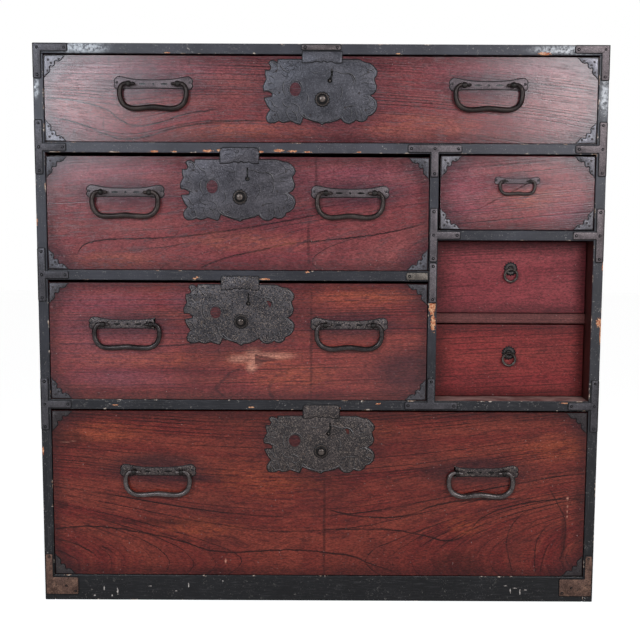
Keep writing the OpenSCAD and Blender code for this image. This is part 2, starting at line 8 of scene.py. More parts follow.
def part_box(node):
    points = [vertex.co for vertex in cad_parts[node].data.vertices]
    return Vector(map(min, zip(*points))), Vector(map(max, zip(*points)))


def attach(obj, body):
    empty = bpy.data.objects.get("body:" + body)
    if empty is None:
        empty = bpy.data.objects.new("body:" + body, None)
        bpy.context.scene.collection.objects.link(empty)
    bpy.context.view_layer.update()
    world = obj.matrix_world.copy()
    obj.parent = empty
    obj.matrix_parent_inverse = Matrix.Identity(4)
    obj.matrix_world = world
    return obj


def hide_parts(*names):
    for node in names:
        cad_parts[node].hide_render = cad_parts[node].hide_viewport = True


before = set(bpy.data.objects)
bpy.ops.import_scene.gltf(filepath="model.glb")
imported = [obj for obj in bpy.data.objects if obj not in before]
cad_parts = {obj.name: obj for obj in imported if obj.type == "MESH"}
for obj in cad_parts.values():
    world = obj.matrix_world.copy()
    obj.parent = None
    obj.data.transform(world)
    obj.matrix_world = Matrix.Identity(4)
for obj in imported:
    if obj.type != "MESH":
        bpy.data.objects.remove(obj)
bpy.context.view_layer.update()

# The case: thin boards of soft wood, lacquered black outside. Their front edges
# stand bare between the drawers, so the lacquer there is rubbed, dusty and
# chipped down to orange wood along the arrises.


class Value:
    """A value in a tree of shader nodes. Sums and products of it become Math nodes."""

    def __init__(self, shades, socket):
        self.shades, self.socket = shades, socket

    def __add__(self, other):
        return self.shades.math("ADD", self, other)

    def __sub__(self, other):
        return self.shades.math("SUBTRACT", self, other)

    def __rsub__(self, other):
        return self.shades.math("SUBTRACT", other, self)

    def __mul__(self, other):
        return self.shades.math("MULTIPLY", self, other)

    def __truediv__(self, other):
        return self.shades.math("DIVIDE", self, other)

    def __rtruediv__(self, other):
        return self.shades.math("DIVIDE", other, self)

    def __abs__(self):
        return self.shades.math("ABSOLUTE", self)

    __radd__, __rmul__ = __add__, __mul__


class Shades:
    """Lays shader nodes in one tree. What they are fed may be a Value, a number or a colour."""

    def __init__(self, tree):
        self.tree, self.colour = tree, None

    def feed(self, socket, value):
        if isinstance(value, Value):
            self.tree.links.new(value.socket, socket)
        else:
            socket.default_value = (*value, 1) if socket.type == "RGBA" and len(value) == 3 else value

    def lay(self, kind, inputs, **settings):
        node = self.tree.nodes.new("ShaderNode" + kind)
        for key, value in settings.items():
            setattr(node, key, value)
        for key, value in inputs.items():
            self.feed(node.inputs[key], value)
        return node

    def add(self, kind, inputs, out=0, **settings):
        return Value(self, self.lay(kind, inputs, **settings).outputs[out])

    def math(self, operation, *values):
        return self.add("Math", dict(enumerate(values)), operation=operation)

    def vector(self, operation, *values, out=0):
        return self.add("VectorMath", dict(enumerate(values)), out, operation=operation)

    def parts(self, value):
        return [Value(self, out) for out in self.lay("SeparateXYZ", {0: value}).outputs]

    def join(self, x, y, z):
        return self.add("CombineXYZ", {0: x, 1: y, 2: z})

    def place(self):
        return self.add("TexCoord", {}, "Object")

    def ramp(self, value, low, high, to_low=0, to_high=1):
        return self.add("MapRange", {"Value": value, "From Min": low, "From Max": high, "To Min": to_low,
                                     "To Max": to_high}, interpolation_type="SMOOTHSTEP")

    def noise(self, at, scale, detail=3, rough=0.55, twist=0):
        return self.add("TexNoise", {"Vector": at, "Scale": scale, "Detail": detail, "Roughness": rough,
                                     "Distortion": twist})

    def stretched(self, at, scale, detail=3, rough=0.55):
        """Noise with its own scale along x, y and z."""
        return self.noise(self.vector("MULTIPLY", at, scale), 1, detail, rough)

    def mix(self, factor, a, b, blend="MIX"):
        return self.add("Mix", {0: factor, 6: a, 7: b}, 2, data_type="RGBA", blend_type=blend)

    def coat(self, factor, colour, blend="MIX"):
        """Lays a colour over the colour so far."""
        self.colour = self.mix(factor, self.colour, colour, blend)

    def bump(self, height, distance, strength):
        return self.add("Bump", {"Height": height, "Distance": distance, "Strength": strength})

    def use(self, group, **inputs):
        return {out.name: Value(self, out) for out in self.lay("Group", inputs, node_tree=group.tree).outputs}

    def finish(self, **sockets):
        """Feeds the Principled shader. A plain value goes on the shader's own socket."""
        for label, value in sockets.items():
            self.feed(self.tree.nodes["Principled BSDF"].inputs[label.replace("_", " ")], value)


def new_group(name, outputs, **inputs):
    """A shader node group. An input is a value, a vector or a colour by how many numbers it has."""
    tree = bpy.data.node_groups.new(name, "ShaderNodeTree")
    kinds = {1: "NodeSocketFloat", 3: "NodeSocketVector", 4: "NodeSocketColor"}
    for label, value in inputs.items():
        kind = kinds[len(value) if isinstance(value, tuple) else 1]
        tree.interface.new_socket(label, in_out="INPUT", socket_type=kind).default_value = value
    for label in outputs:
        kind = kinds[4 if label == "Colour" else 1]
        tree.interface.new_socket(label, in_out="OUTPUT", socket_type=kind)
    s, given = Shades(tree), tree.nodes.new("NodeGroupInput").outputs
    return s, {label: Value(s, given[label]) for label in inputs}, tree.nodes.new("NodeGroupOutput").inputs


def new_material(name):
    material = bpy.data.materials.new(name)
    material.use_nodes = True
    return material, Shades(material.node_tree)


# Distance from a point on a board to the nearest of the board's arrises
s, come, go = new_group("Board edges", ["Distance"], Low=(0, 0, 0), High=(1, 1, 1))
at = s.place()
nx, ny, nz = s.parts(s.vector("MINIMUM", s.vector("ABSOLUTE", s.vector("SUBTRACT", at, come["Low"])),
                              s.vector("ABSOLUTE", s.vector("SUBTRACT", come["High"], at))))
largest = s.math("MAXIMUM", s.math("MAXIMUM", nx, ny), nz)
smallest = s.math("MINIMUM", s.math("MINIMUM", nx, ny), nz)
s.feed(go["Distance"], nx + ny + nz - largest - smallest)
board_edges = s

# A ragged patch about one place, 1 in the middle and 0 outside
s, come, go = new_group("Ragged patch", ["Mask"], Middle=(0, 0, 0), Reach=(0.01, 0.01, 0.01), Ragged=0.5,
                        Fineness=300, Softness=0.15)
at = s.place()
off = s.vector("DIVIDE", s.vector("SUBTRACT", at, come["Middle"]), come["Reach"])
size = s.vector("LENGTH", off, out="Value") + (s.noise(at, come["Fineness"]) - 0.5) * come["Ragged"]
s.feed(go["Mask"], 1 - s.ramp(size, 1 - come["Softness"], 1 + come["Softness"]))
patch = s


CASE_FACE = -0.215


def patches(s, places, ragged, fineness, softness):
    """The strongest of several ragged patches. A place is (x, z, reach in x, reach in z) in millimetres."""
    mask = None
    for x, z, rx, rz in places:
        one = s.use(patch, Middle=(x / 1000, CASE_FACE, z / 1000), Reach=(rx / 1000, 0.012, rz / 1000), Ragged=ragged,
                    Fineness=fineness, Softness=softness)["Mask"]
        mask = one if mask is None else s.math("MAXIMUM", mask, one)
    return mask


# Glossy rubs with a painted highlight, and chips of the frame, as millimetres across and up from the floor
RUBS_AND_HIGHLIGHTS = [(-372, 891, 34, 9), (-445, 828, 4, 13), (384, 890, 52, 6), (444, 818, 7, 26)]
CHIPS = {
    "top_board": [(348, 884, 11, 2.8), (-240, 883, 5, 1.2), (120, 883, 4, 1)],
    "upper_shelf": [(-262, 731, 8, 1.8), (-230, 731, 5, 1.2), (-178, 732, 10, 2.2), (-160, 733, 4, 2.2),
                    (-95, 731, 6, 1.6), (-66, 733, 9, 2.6), (-44, 732, 8, 2), (-20, 731, 6, 1.4), (60, 731, 4, 1.2)],
    "left_shelf": [(-200, 531, 4, 1.4), (-196, 533, 2, 2), (-88, 530.5, 10, 1.6), (-20, 542, 4, 1.6)],
    "lower_shelf": [(-330, 326, 6, 1.2), (95, 330, 5, 1.4), (30, 322, 5, 1.4), (-110, 323, 6, 1.2),
                    (398, 332, 12, 1.2)],
    "centre_divider": [(179, 488, 6, 17), (181, 462, 4.4, 17), (177, 514, 3, 8)],
    "right_side": [(446.5, 463, 5.5, 8), (449.5, 552, 1.6, 7), (449.5, 446, 1.8, 20), (449.5, 350, 1.4, 12)],
    "left_side": [(-449, 620, 1.4, 7), (-448, 250, 1.6, 8)],
    "base_rail": [(-353, 20, 1, 4.6), (-331, 15, 1.5, 6.4), (-369, 8, 3, 1.2), (-340, 8, 1.2, 2), (-214, 26, 1.2, 4.6),
                  (-234, 16, 2, 0.9), (-277, 24, 3.4, 1), (-158, 33, 2, 0.8), (315, 18, 1.1, 4.5),
                  (323, 23, 4, 0.9), (331, 17, 1, 5), (340, 20, 3.4, 0.9), (307, 27, 3, 0.9)],
}
NO_CHIPS = [(0, -50, 1, 1)]


def black_lacquer(node, seed, top=(0.024, 0.023, 0.029), wear=1, within=((0.05, 0.011, 0.009), (0.022, 0.006, 0.005)),
                  bare=((0.34, 0.085, 0.035), (0.62, 0.34, 0.19))):
    """Worn black lacquer for one board, made for that board's own arrises, greyer towards the top by painted sheen.

    Within holds the two colours inside the compartments, bare those of the wood where the lacquer is chipped."""
    low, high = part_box(node)
    material, s = new_material("lacquer_" + node)
    x, y, z = s.parts(s.place())
    at = s.vector("ADD", s.place(), (seed, seed * 0.7, seed * 0.3))
    edge = s.use(board_edges, Low=low, High=high)["Distance"]
    flat = high[0] - low[0] > high[2] - low[2]

    def along(few, many, *rest):
        return s.stretched(at, (few, 60, many) if flat else (many, 60, few), *rest)

    cloud, grain = s.noise(at, 14, 4), along(40, 900, 3)
    # Painted sheen: near black at the floor, turning to the top colour as the lamps above light the board
    s.colour = s.mix(s.ramp(z, 0, 0.78), (0.004, 0.0038, 0.0045), top)
    s.coat(s.ramp(cloud, 0.35, 0.7), s.mix(1, s.colour, (1.6, 1.6, 1.6), "MULTIPLY"))
    s.coat(s.ramp(grain, 0.52, 0.72) * 0.5, (0.055, 0.051, 0.054))
    wander = s.math("FRACT", s.noise(at, 60, 2, 0.5, 1.5) * 5)
    hair = (1 - s.ramp(abs(wander - 0.5), 0.02, 0.085)) * s.ramp(s.noise(at, 75, 3, 0.7), 0.6, 0.66)
    s.coat(hair * (0.55 * wear), (0.4, 0.36, 0.32))
    scratch = s.ramp(along(16, 1500, 4, 0.7), 0.64, 0.72) * s.ramp(s.noise(at, 38), 0.46, 0.6)
    s.coat(scratch * (0.65 * wear), (0.2, 0.18, 0.17))
    dust = s.ramp(s.noise(at, 420, 4, 0.7), 0.6, 0.67) * s.ramp(s.noise(at, 25), 0.4, 0.6)
    s.coat(dust * (0.6 * wear), (0.34, 0.31, 0.29))
    # Behind the front edges, between the sides and under the top board
    inside = s.ramp(y, -0.2138, -0.2118) * s.ramp(abs(x), 0.4352, 0.4345) * s.ramp(z, 0.883, 0.8822)
    s.coat(inside, s.mix(s.ramp(grain, 0.3, 0.7), *within))
    ragged = s.noise(at, 260, 5, 0.65)
    reach = s.ramp(s.noise(at, 46, 4, 0.65), 0.54, 0.7) * (ragged * 0.0048)
    worn = s.ramp(reach - edge, 0, 0.0009)
    s.coat(worn, s.mix(s.ramp(ragged, 0.45, 0.55), (0.3, 0.17, 0.11), (0.46, 0.38, 0.32)))
    torn = patches(s, CHIPS.get(node, NO_CHIPS), 0.6, 260, 0.8)
    chipped = s.ramp(s.noise(at, 400, 3, 0.6) + torn * 0.5, 0.8, 0.86)
    s.coat(chipped, s.mix(s.ramp(s.noise(at, 420, 3), 0.35, 0.65), *bare))
    # Painted highlight: the rubbed places take a pale colour as well as a glossy clear coat
    rubbed_and_highlit = patches(s, RUBS_AND_HIGHLIGHTS, 0.8, 60, 0.6) * s.ramp(s.noise(at, 210, 5, 0.7), 0.36, 0.6)
    s.coat(rubbed_and_highlit * 0.7, (0.3, 0.3, 0.32))
    chipped = s.math("MAXIMUM", chipped, worn)
    height = s.noise(at, 90, 4) * 0.4 + grain * 0.25 - chipped * 0.8
    s.finish(Base_Color=s.colour, Specular_IOR_Level=0.28, Coat_Weight=rubbed_and_highlit, Coat_Roughness=0.16,
             Roughness=s.math("MAXIMUM", 0.3 + cloud * 0.22, chipped * 0.8), Normal=s.bump(height, 0.0009, 0.6))
    return material


def dress(node, material, soften):
    """Gives a CAD node its material, and rounds its arrises a little."""
    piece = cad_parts[node]
    piece.data.materials.clear()
    piece.data.materials.append(material)
    piece.modifiers.new("Weld", "WELD").merge_threshold = 0.00002
    bevel = piece.modifiers.new("Arris", "BEVEL")
    bevel.width, bevel.segments, bevel.use_clamp_overlap = soften, 2, True
    bevel.limit_method, bevel.angle_limit = "ANGLE", math.radians(50)


# Each board's top colour for the painted sheen: lighter on the upper shelf and the right side, darker on the lower one
own = {"upper_shelf": dict(top=(0.034, 0.032, 0.039)), "right_side": dict(top=(0.033, 0.032, 0.037)),
       "lower_shelf": dict(top=(0.02, 0.019, 0.024), within=((0.15, 0.066, 0.06), (0.38, 0.24, 0.21)))}
for i, node in enumerate(["top_board", "left_side", "right_side", "upper_shelf", "left_shelf", "right_shelf",
                          "lower_shelf", "centre_divider"]):
    dress(node, black_lacquer(node, 1.7 * i, **own.get(node, {})), 0.0012)
dress("base_rail", black_lacquer("base_rail", 21, wear=0.45, bare=((0.22, 0.18, 0.16), (0.52, 0.47, 0.43))), 0.0015)

# The boards that nobody sees from the front: the back planks and the board under
# the bottom drawer, left bare, and the drawers' boxes of the same pale wood.


def toned(colour, *by):
    """A colour made darker or lighter by one factor, or by one for each of red, green and blue."""
    return tuple(c * k for c, k in zip(colour, by * 3))


def plain_wood(name, axis, tone, seed=0, plank=0):
    """Bare planed wood, its grain along one axis: 0, 1 or 2. Planks of one width may differ in tone."""
    material, s = new_material(name)
    at = s.vector("ADD", s.place(), (seed, seed, seed))
    broad, fine = [tuple(along if i == axis else across for i in range(3)) for along, across in ((2.5, 55), (12, 700))]
    year = s.math("FRACT", s.stretched(at, broad, 2) * 9)
    fibre = s.stretched(at, fine, 2)
    s.colour = s.mix(s.ramp(year, 0.2, 1), tone, toned(tone, 0.62))
    s.coat(s.ramp(fibre, 0.4, 0.7) * 0.4, toned(tone, 0.5))
    s.coat(s.ramp(s.noise(at, 5, 4), 0.4, 0.75), toned(tone, 0.6))
    if plank:
        number = s.math("FLOOR", (s.parts(s.place())[0] + 0.435) / plank)
        chance = s.add("TexWhiteNoise", {"Vector": s.join(number, seed, 0.5)}, "Value")
        s.coat(chance * 0.45, toned(tone, 0.5))
    s.finish(Base_Color=s.colour, Roughness=s.ramp(fibre, 0.2, 0.8, 0.6, 0.85),
             Normal=s.bump(fibre + year * 0.4, 0.0004, 0.6))
    return material


dress("back_boards", plain_wood("back_plank_wood", 2, (0.23, 0.145, 0.085), plank=0.2175), 0.0008)
dress("base_board", plain_wood("base_board_wood", 0, (0.24, 0.155, 0.095), 3), 0.0008)
box_wood = plain_wood("drawer_box_wood", 1, (0.34, 0.24, 0.155), 5)
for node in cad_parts:
    if node.endswith("_box"):
        dress(node, box_wood, 0.0008)

# The drawer fronts: thick boards of zelkova under red lacquer. The year rings show
# as thin dark lines, straight where the board was cut near the heart's side and in
# arches where it was cut flat. Oil and soot darken the wood about the irons, and
# painted shade darkens it there and along the fronts' edges as well.

# Rings of a log that runs nearly along x. Heart is its middle, behind the front's face; Swell bends the rings
# about a knot. The lines, the fibres and the broad clouds of colour all follow the rings.
s, come, go = new_group("Zelkova figure", ["Line", "Tone", "Fibre", "Light", "Broad"], Heart=(0, 0.1, 0), Slope=0,
                        Bow=0, Tilt=0, Ring=0.0034, Wobble=0.005, Swell=0, Seed=0)
at = s.place()
moved = s.vector("ADD", at, s.join(come["Seed"], come["Seed"], come["Seed"]))
x, y, z = s.parts(s.vector("SUBTRACT", at, come["Heart"]))
wave = s.stretched(moved, (3.6, 1, 9), 2, 0.5) - 0.5
ripple = s.stretched(moved, (22, 1, 70), 2, 0.5) - 0.5
depth = x * come["Slope"] + x * x * come["Bow"] - y
height = z - x * come["Tilt"]
radius = s.math("SQRT", depth * depth + height * height)
radius = radius + ((wave + ripple * 0.16) * come["Wobble"] + come["Swell"])
count = radius / come["Ring"] + s.noise(s.join(radius * 55, come["Seed"], 0), 1, 2) * 3
part = s.math("FRACT", count)
chance = s.add("TexWhiteNoise", {"Vector": s.join(s.math("FLOOR", count), come["Seed"], 0.5)}, "Value")
fade = s.ramp(s.stretched(moved, (7, 1, 24), 3), 0.3, 0.58)
steep = abs(height) / radius + 0.1
half = 0.00075 / come["Ring"] * steep
line = 1 - s.ramp(abs(part - 0.75), half * 0.35, half)
s.feed(go["Line"], line * (s.ramp(chance, 0.1, 0.85) * fade))
s.feed(go["Tone"], part * (0.4 + chance * 0.6))
lengthwise = s.parts(moved)[0]


def follow(scale_x, scale_r, offset):
    """Noise drawn out along the rings."""
    return s.noise(s.join(lengthwise * scale_x, radius * scale_r, offset), 1, 3, 0.65)


straight = s.stretched(moved, (60, 1, 420), 3, 0.65)
ringed = follow(38, 500, 1.3)
flat_cut = 1 - s.ramp(steep, 0.16, 0.42)
s.feed(go["Fibre"], s.ramp(ringed + flat_cut * (straight - ringed), 0.5, 0.62))
s.feed(go["Light"], s.ramp(follow(30, 380, 7.7), 0.5, 0.66))
s.feed(go["Broad"], follow(3, 42, 4.1))
figure = s


def inked(s, across, up, points, reach, upright=False):
    """A dark line of the figure through (x, z) points in millimetres, in order of x, or of z if upright."""
    knots = [(b / 1000, a / 1000) if upright else (a / 1000, b / 1000) for a, b in points]
    run, rise = (up, across) if upright else (across, up)
    start, stop = knots[0][0], knots[-1][0]
    base = min(b for a, b in knots) - 0.01
    span = max(b for a, b in knots) + 0.01 - base
    node = s.lay("FloatCurve", {"Value": (run - start) / (stop - start)})
    curve = node.mapping.curves[0]
    places = [((a - start) / (stop - start), (b - base) / span) for a, b in knots]
    curve.points[0].location, curve.points[-1].location = places[0], places[-1]
    for place in places[1:-1]:
        curve.points.new(*place)
    node.mapping.update()
    line = base + Value(s, node.outputs[0]) * span
    shake = (s.noise(s.place(), 70, 3) - 0.5) * 0.004
    mark = 1 - s.ramp(abs(shake + (rise - line)), 0.0002 * reach, 0.001 * reach)
    mark = mark * s.ramp(run, start - 0.002, start + 0.006) * (1 - s.ramp(run, stop - 0.03, stop))
    return mark * s.ramp(s.noise(s.place(), 22), 0.25, 0.5, 0.45, 1)


BROAD_LINE = 3


def zelkova(name, node, heart, tone, warm, dark, ring=0.0036, slope=0, bow=0, tilt=0, wobble=0.005, swells=(), seed=0,
            halos=(), streaks=(), pale=(), glow=(), wedge=None, lines=(), arches=(), bend=1.8, hole_shade=(), haze_and_sheen=(),
            grainy=0.14, strength=1, rough=0.25, specular=0.45):
    """Lacquered zelkova for one front. Heart and ring are in metres, spots in millimetres.

    Tone, warm and dark are its colours. Halos are soot and painted shade about the irons, streaks black runs, pale
    bare spots, glow worn orange places, haze a purple bloom that also paints the lamps' sheen, bores painted shade
    in open holes, and a wedge is let in. Bend is how broad the arches are drawn."""
    material, s = new_material(name)
    low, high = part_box(node)
    at = s.place()
    x, y, z = s.parts(at)
    swell = 0
    for sx, sz, reach_x, reach_z, lift in swells:
        off = s.vector("DIVIDE", s.vector("SUBTRACT", at, (sx / 1000, low[1], sz / 1000)),
                       (reach_x / 1000, 1, reach_z / 1000))
        near = s.math("EXPONENT", s.vector("DOT_PRODUCT", off, off, out="Value") * -1)
        swell = swell + near * (lift / 1000)
    rings = s.use(figure, Heart=heart, Slope=slope, Bow=bow, Tilt=tilt, Ring=ring, Wobble=wobble, Swell=swell,
                  Seed=seed)
    fibre, black = rings["Fibre"], toned(dark, 0.3)
    s.colour = s.mix(s.ramp(rings["Broad"], 0.25, 0.8), tone, warm)
    s.coat(rings["Light"] * (0.3 * strength), toned(warm, 1.35))
    s.coat(rings["Tone"] * (0.14 * strength), dark)
    s.coat(fibre * (0.55 * min(strength, 1)), dark)
    s.coat(rings["Line"] * strength, black)
    for points in lines:
        s.coat(inked(s, x, z, points, 2.1) * 0.95, black)
    for points in arches:
        s.coat(inked(s, x, z, points, bend, True) * 0.72, dark if bend > BROAD_LINE else black)
    s.coat(s.ramp(s.noise(at, 9, 6, 0.65), 0.45, 0.7) * 0.4, dark)
    if glow:
        bare = patches(s, glow, 1, 30, 0.8) * (1 - fibre * 0.9)
        bare = bare * s.ramp(s.stretched(at, (26, 60, 210), 3, 0.7), 0.34, 0.6, 0.25, 1)
        s.coat(bare * 0.62, toned(warm, 1.35, 1.45, 1))
    # Haze: a purple bloom on the lacquer that also stands in for the lamps' sheen, partly painted sheen
    if haze_and_sheen:
        dull_and_sheen = patches(s, haze_and_sheen, 0.9, 24, 0.9)
        s.coat(dull_and_sheen * 0.3, (0.24, 0.08, 0.11))
    if pale:
        worn = patches(s, pale, 0.7, 40, 0.8) * (1 - fibre * 0.6)
        s.coat(worn * 0.75, (0.52, 0.23, 0.16))
    if wedge:
        wx, wz, length, tall = [v / 1000 for v in wedge]
        along = (x - wx) / length
        inlaid = s.ramp((1 - along) * tall - abs(z - wz), 0, 0.0006) * s.ramp(along, 0, 0.02)
        s.coat(inlaid * 0.85, s.mix(fibre, (0.11, 0.024, 0.02), (0.05, 0.012, 0.01)))
    # Halos: soot about the irons, and painted shade where the irons stand out from the front
    if halos:
        soot_and_shade = patches(s, halos, 0.5, 35, 0.6)
        s.coat(soot_and_shade * 0.74, toned(dark, 0.55, 0.9, 1.1))
    if streaks:
        run = patches(s, streaks, 0.9, 60, 0.5)
        s.coat(run * 0.5, black)
    # Darker along the front's edges: grime, and painted shade where the front meets the case
    edge = s.use(board_edges, Low=low, High=high)["Distance"]
    grime_and_shade = 1 - s.ramp(edge - s.noise(at, 24) * 0.016, -0.006, 0.016)
    s.coat(grime_and_shade * 0.6, toned(dark, 0.6))
    pores = s.ramp(s.stretched(at, (170, 400, 520), 3, 0.7), 0.6, 0.7)
    s.coat(pores * 0.55, dark)
    shine = s.ramp(s.stretched(at, (150, 400, 560), 2, 0.7), 0.6, 0.72)
    s.coat(shine * 0.22, toned(warm, 1.5))
    grain = s.ramp(s.stretched(at, (230, 400, 640), 3, 0.75), 0.36, 0.64, 0.64, 1.38)
    s.coat(1, s.join(grain, grain, grain), "MULTIPLY")
    dents = s.ramp(s.noise(at, 210, 2), 0.27, 0.23)
    s.coat(dents * 0.75, black)
    grit = s.ramp(s.noise(at, 330, 2), 0.72, 0.76)
    s.coat(grit * 0.6, (0.36, 0.26, 0.24))
    # Painted shade in the holes: near black on the wood behind the keyholes and the handles' slots
    if hole_shade:
        s.coat(patches(s, hole_shade, 0, 300, 0.2), (0.002, 0.0015, 0.0015))
    finish = rough - 0.14 + s.noise(at, 60, 4) * 0.12 + s.noise(at, 430, 3, 0.7) * 0.16 + fibre * 0.1
    fine = s.stretched(at, (420, 420, 620), 2, 0.7)
    relief = s.noise(at, 22, 3) * 0.5 + fine * grainy - (fibre * 0.035 + rings["Line"] * 0.12)
    s.finish(Base_Color=s.colour, Specular_IOR_Level=specular, Roughness=finish, Normal=s.bump(relief, 0.0007, 0.55))
    return material


def slots_behind(handles):
    """Painted shade on the wood behind the slots of the handle plates, so that their mouths look dark."""
    return [(x + dx, z, reach, 2.5) for x, z in handles for dx, reach in ((-17, 6.4), (0, 2.4), (17, 6.4))]


def irons_on(x0, x1, z0, z1, handles, lock=None):
    """Halos of soot and painted shade about a front's corner mounts, handles and lock."""
    spots = [(x, z, 42, 36) for x in (x0, x1) for z in (z0, z1)]
    spots += [(x, z, 82, 20) for x, z in handles]
    if lock:
        spots.append((lock[0], lock[1] + 12, 98, 58))
    return spots


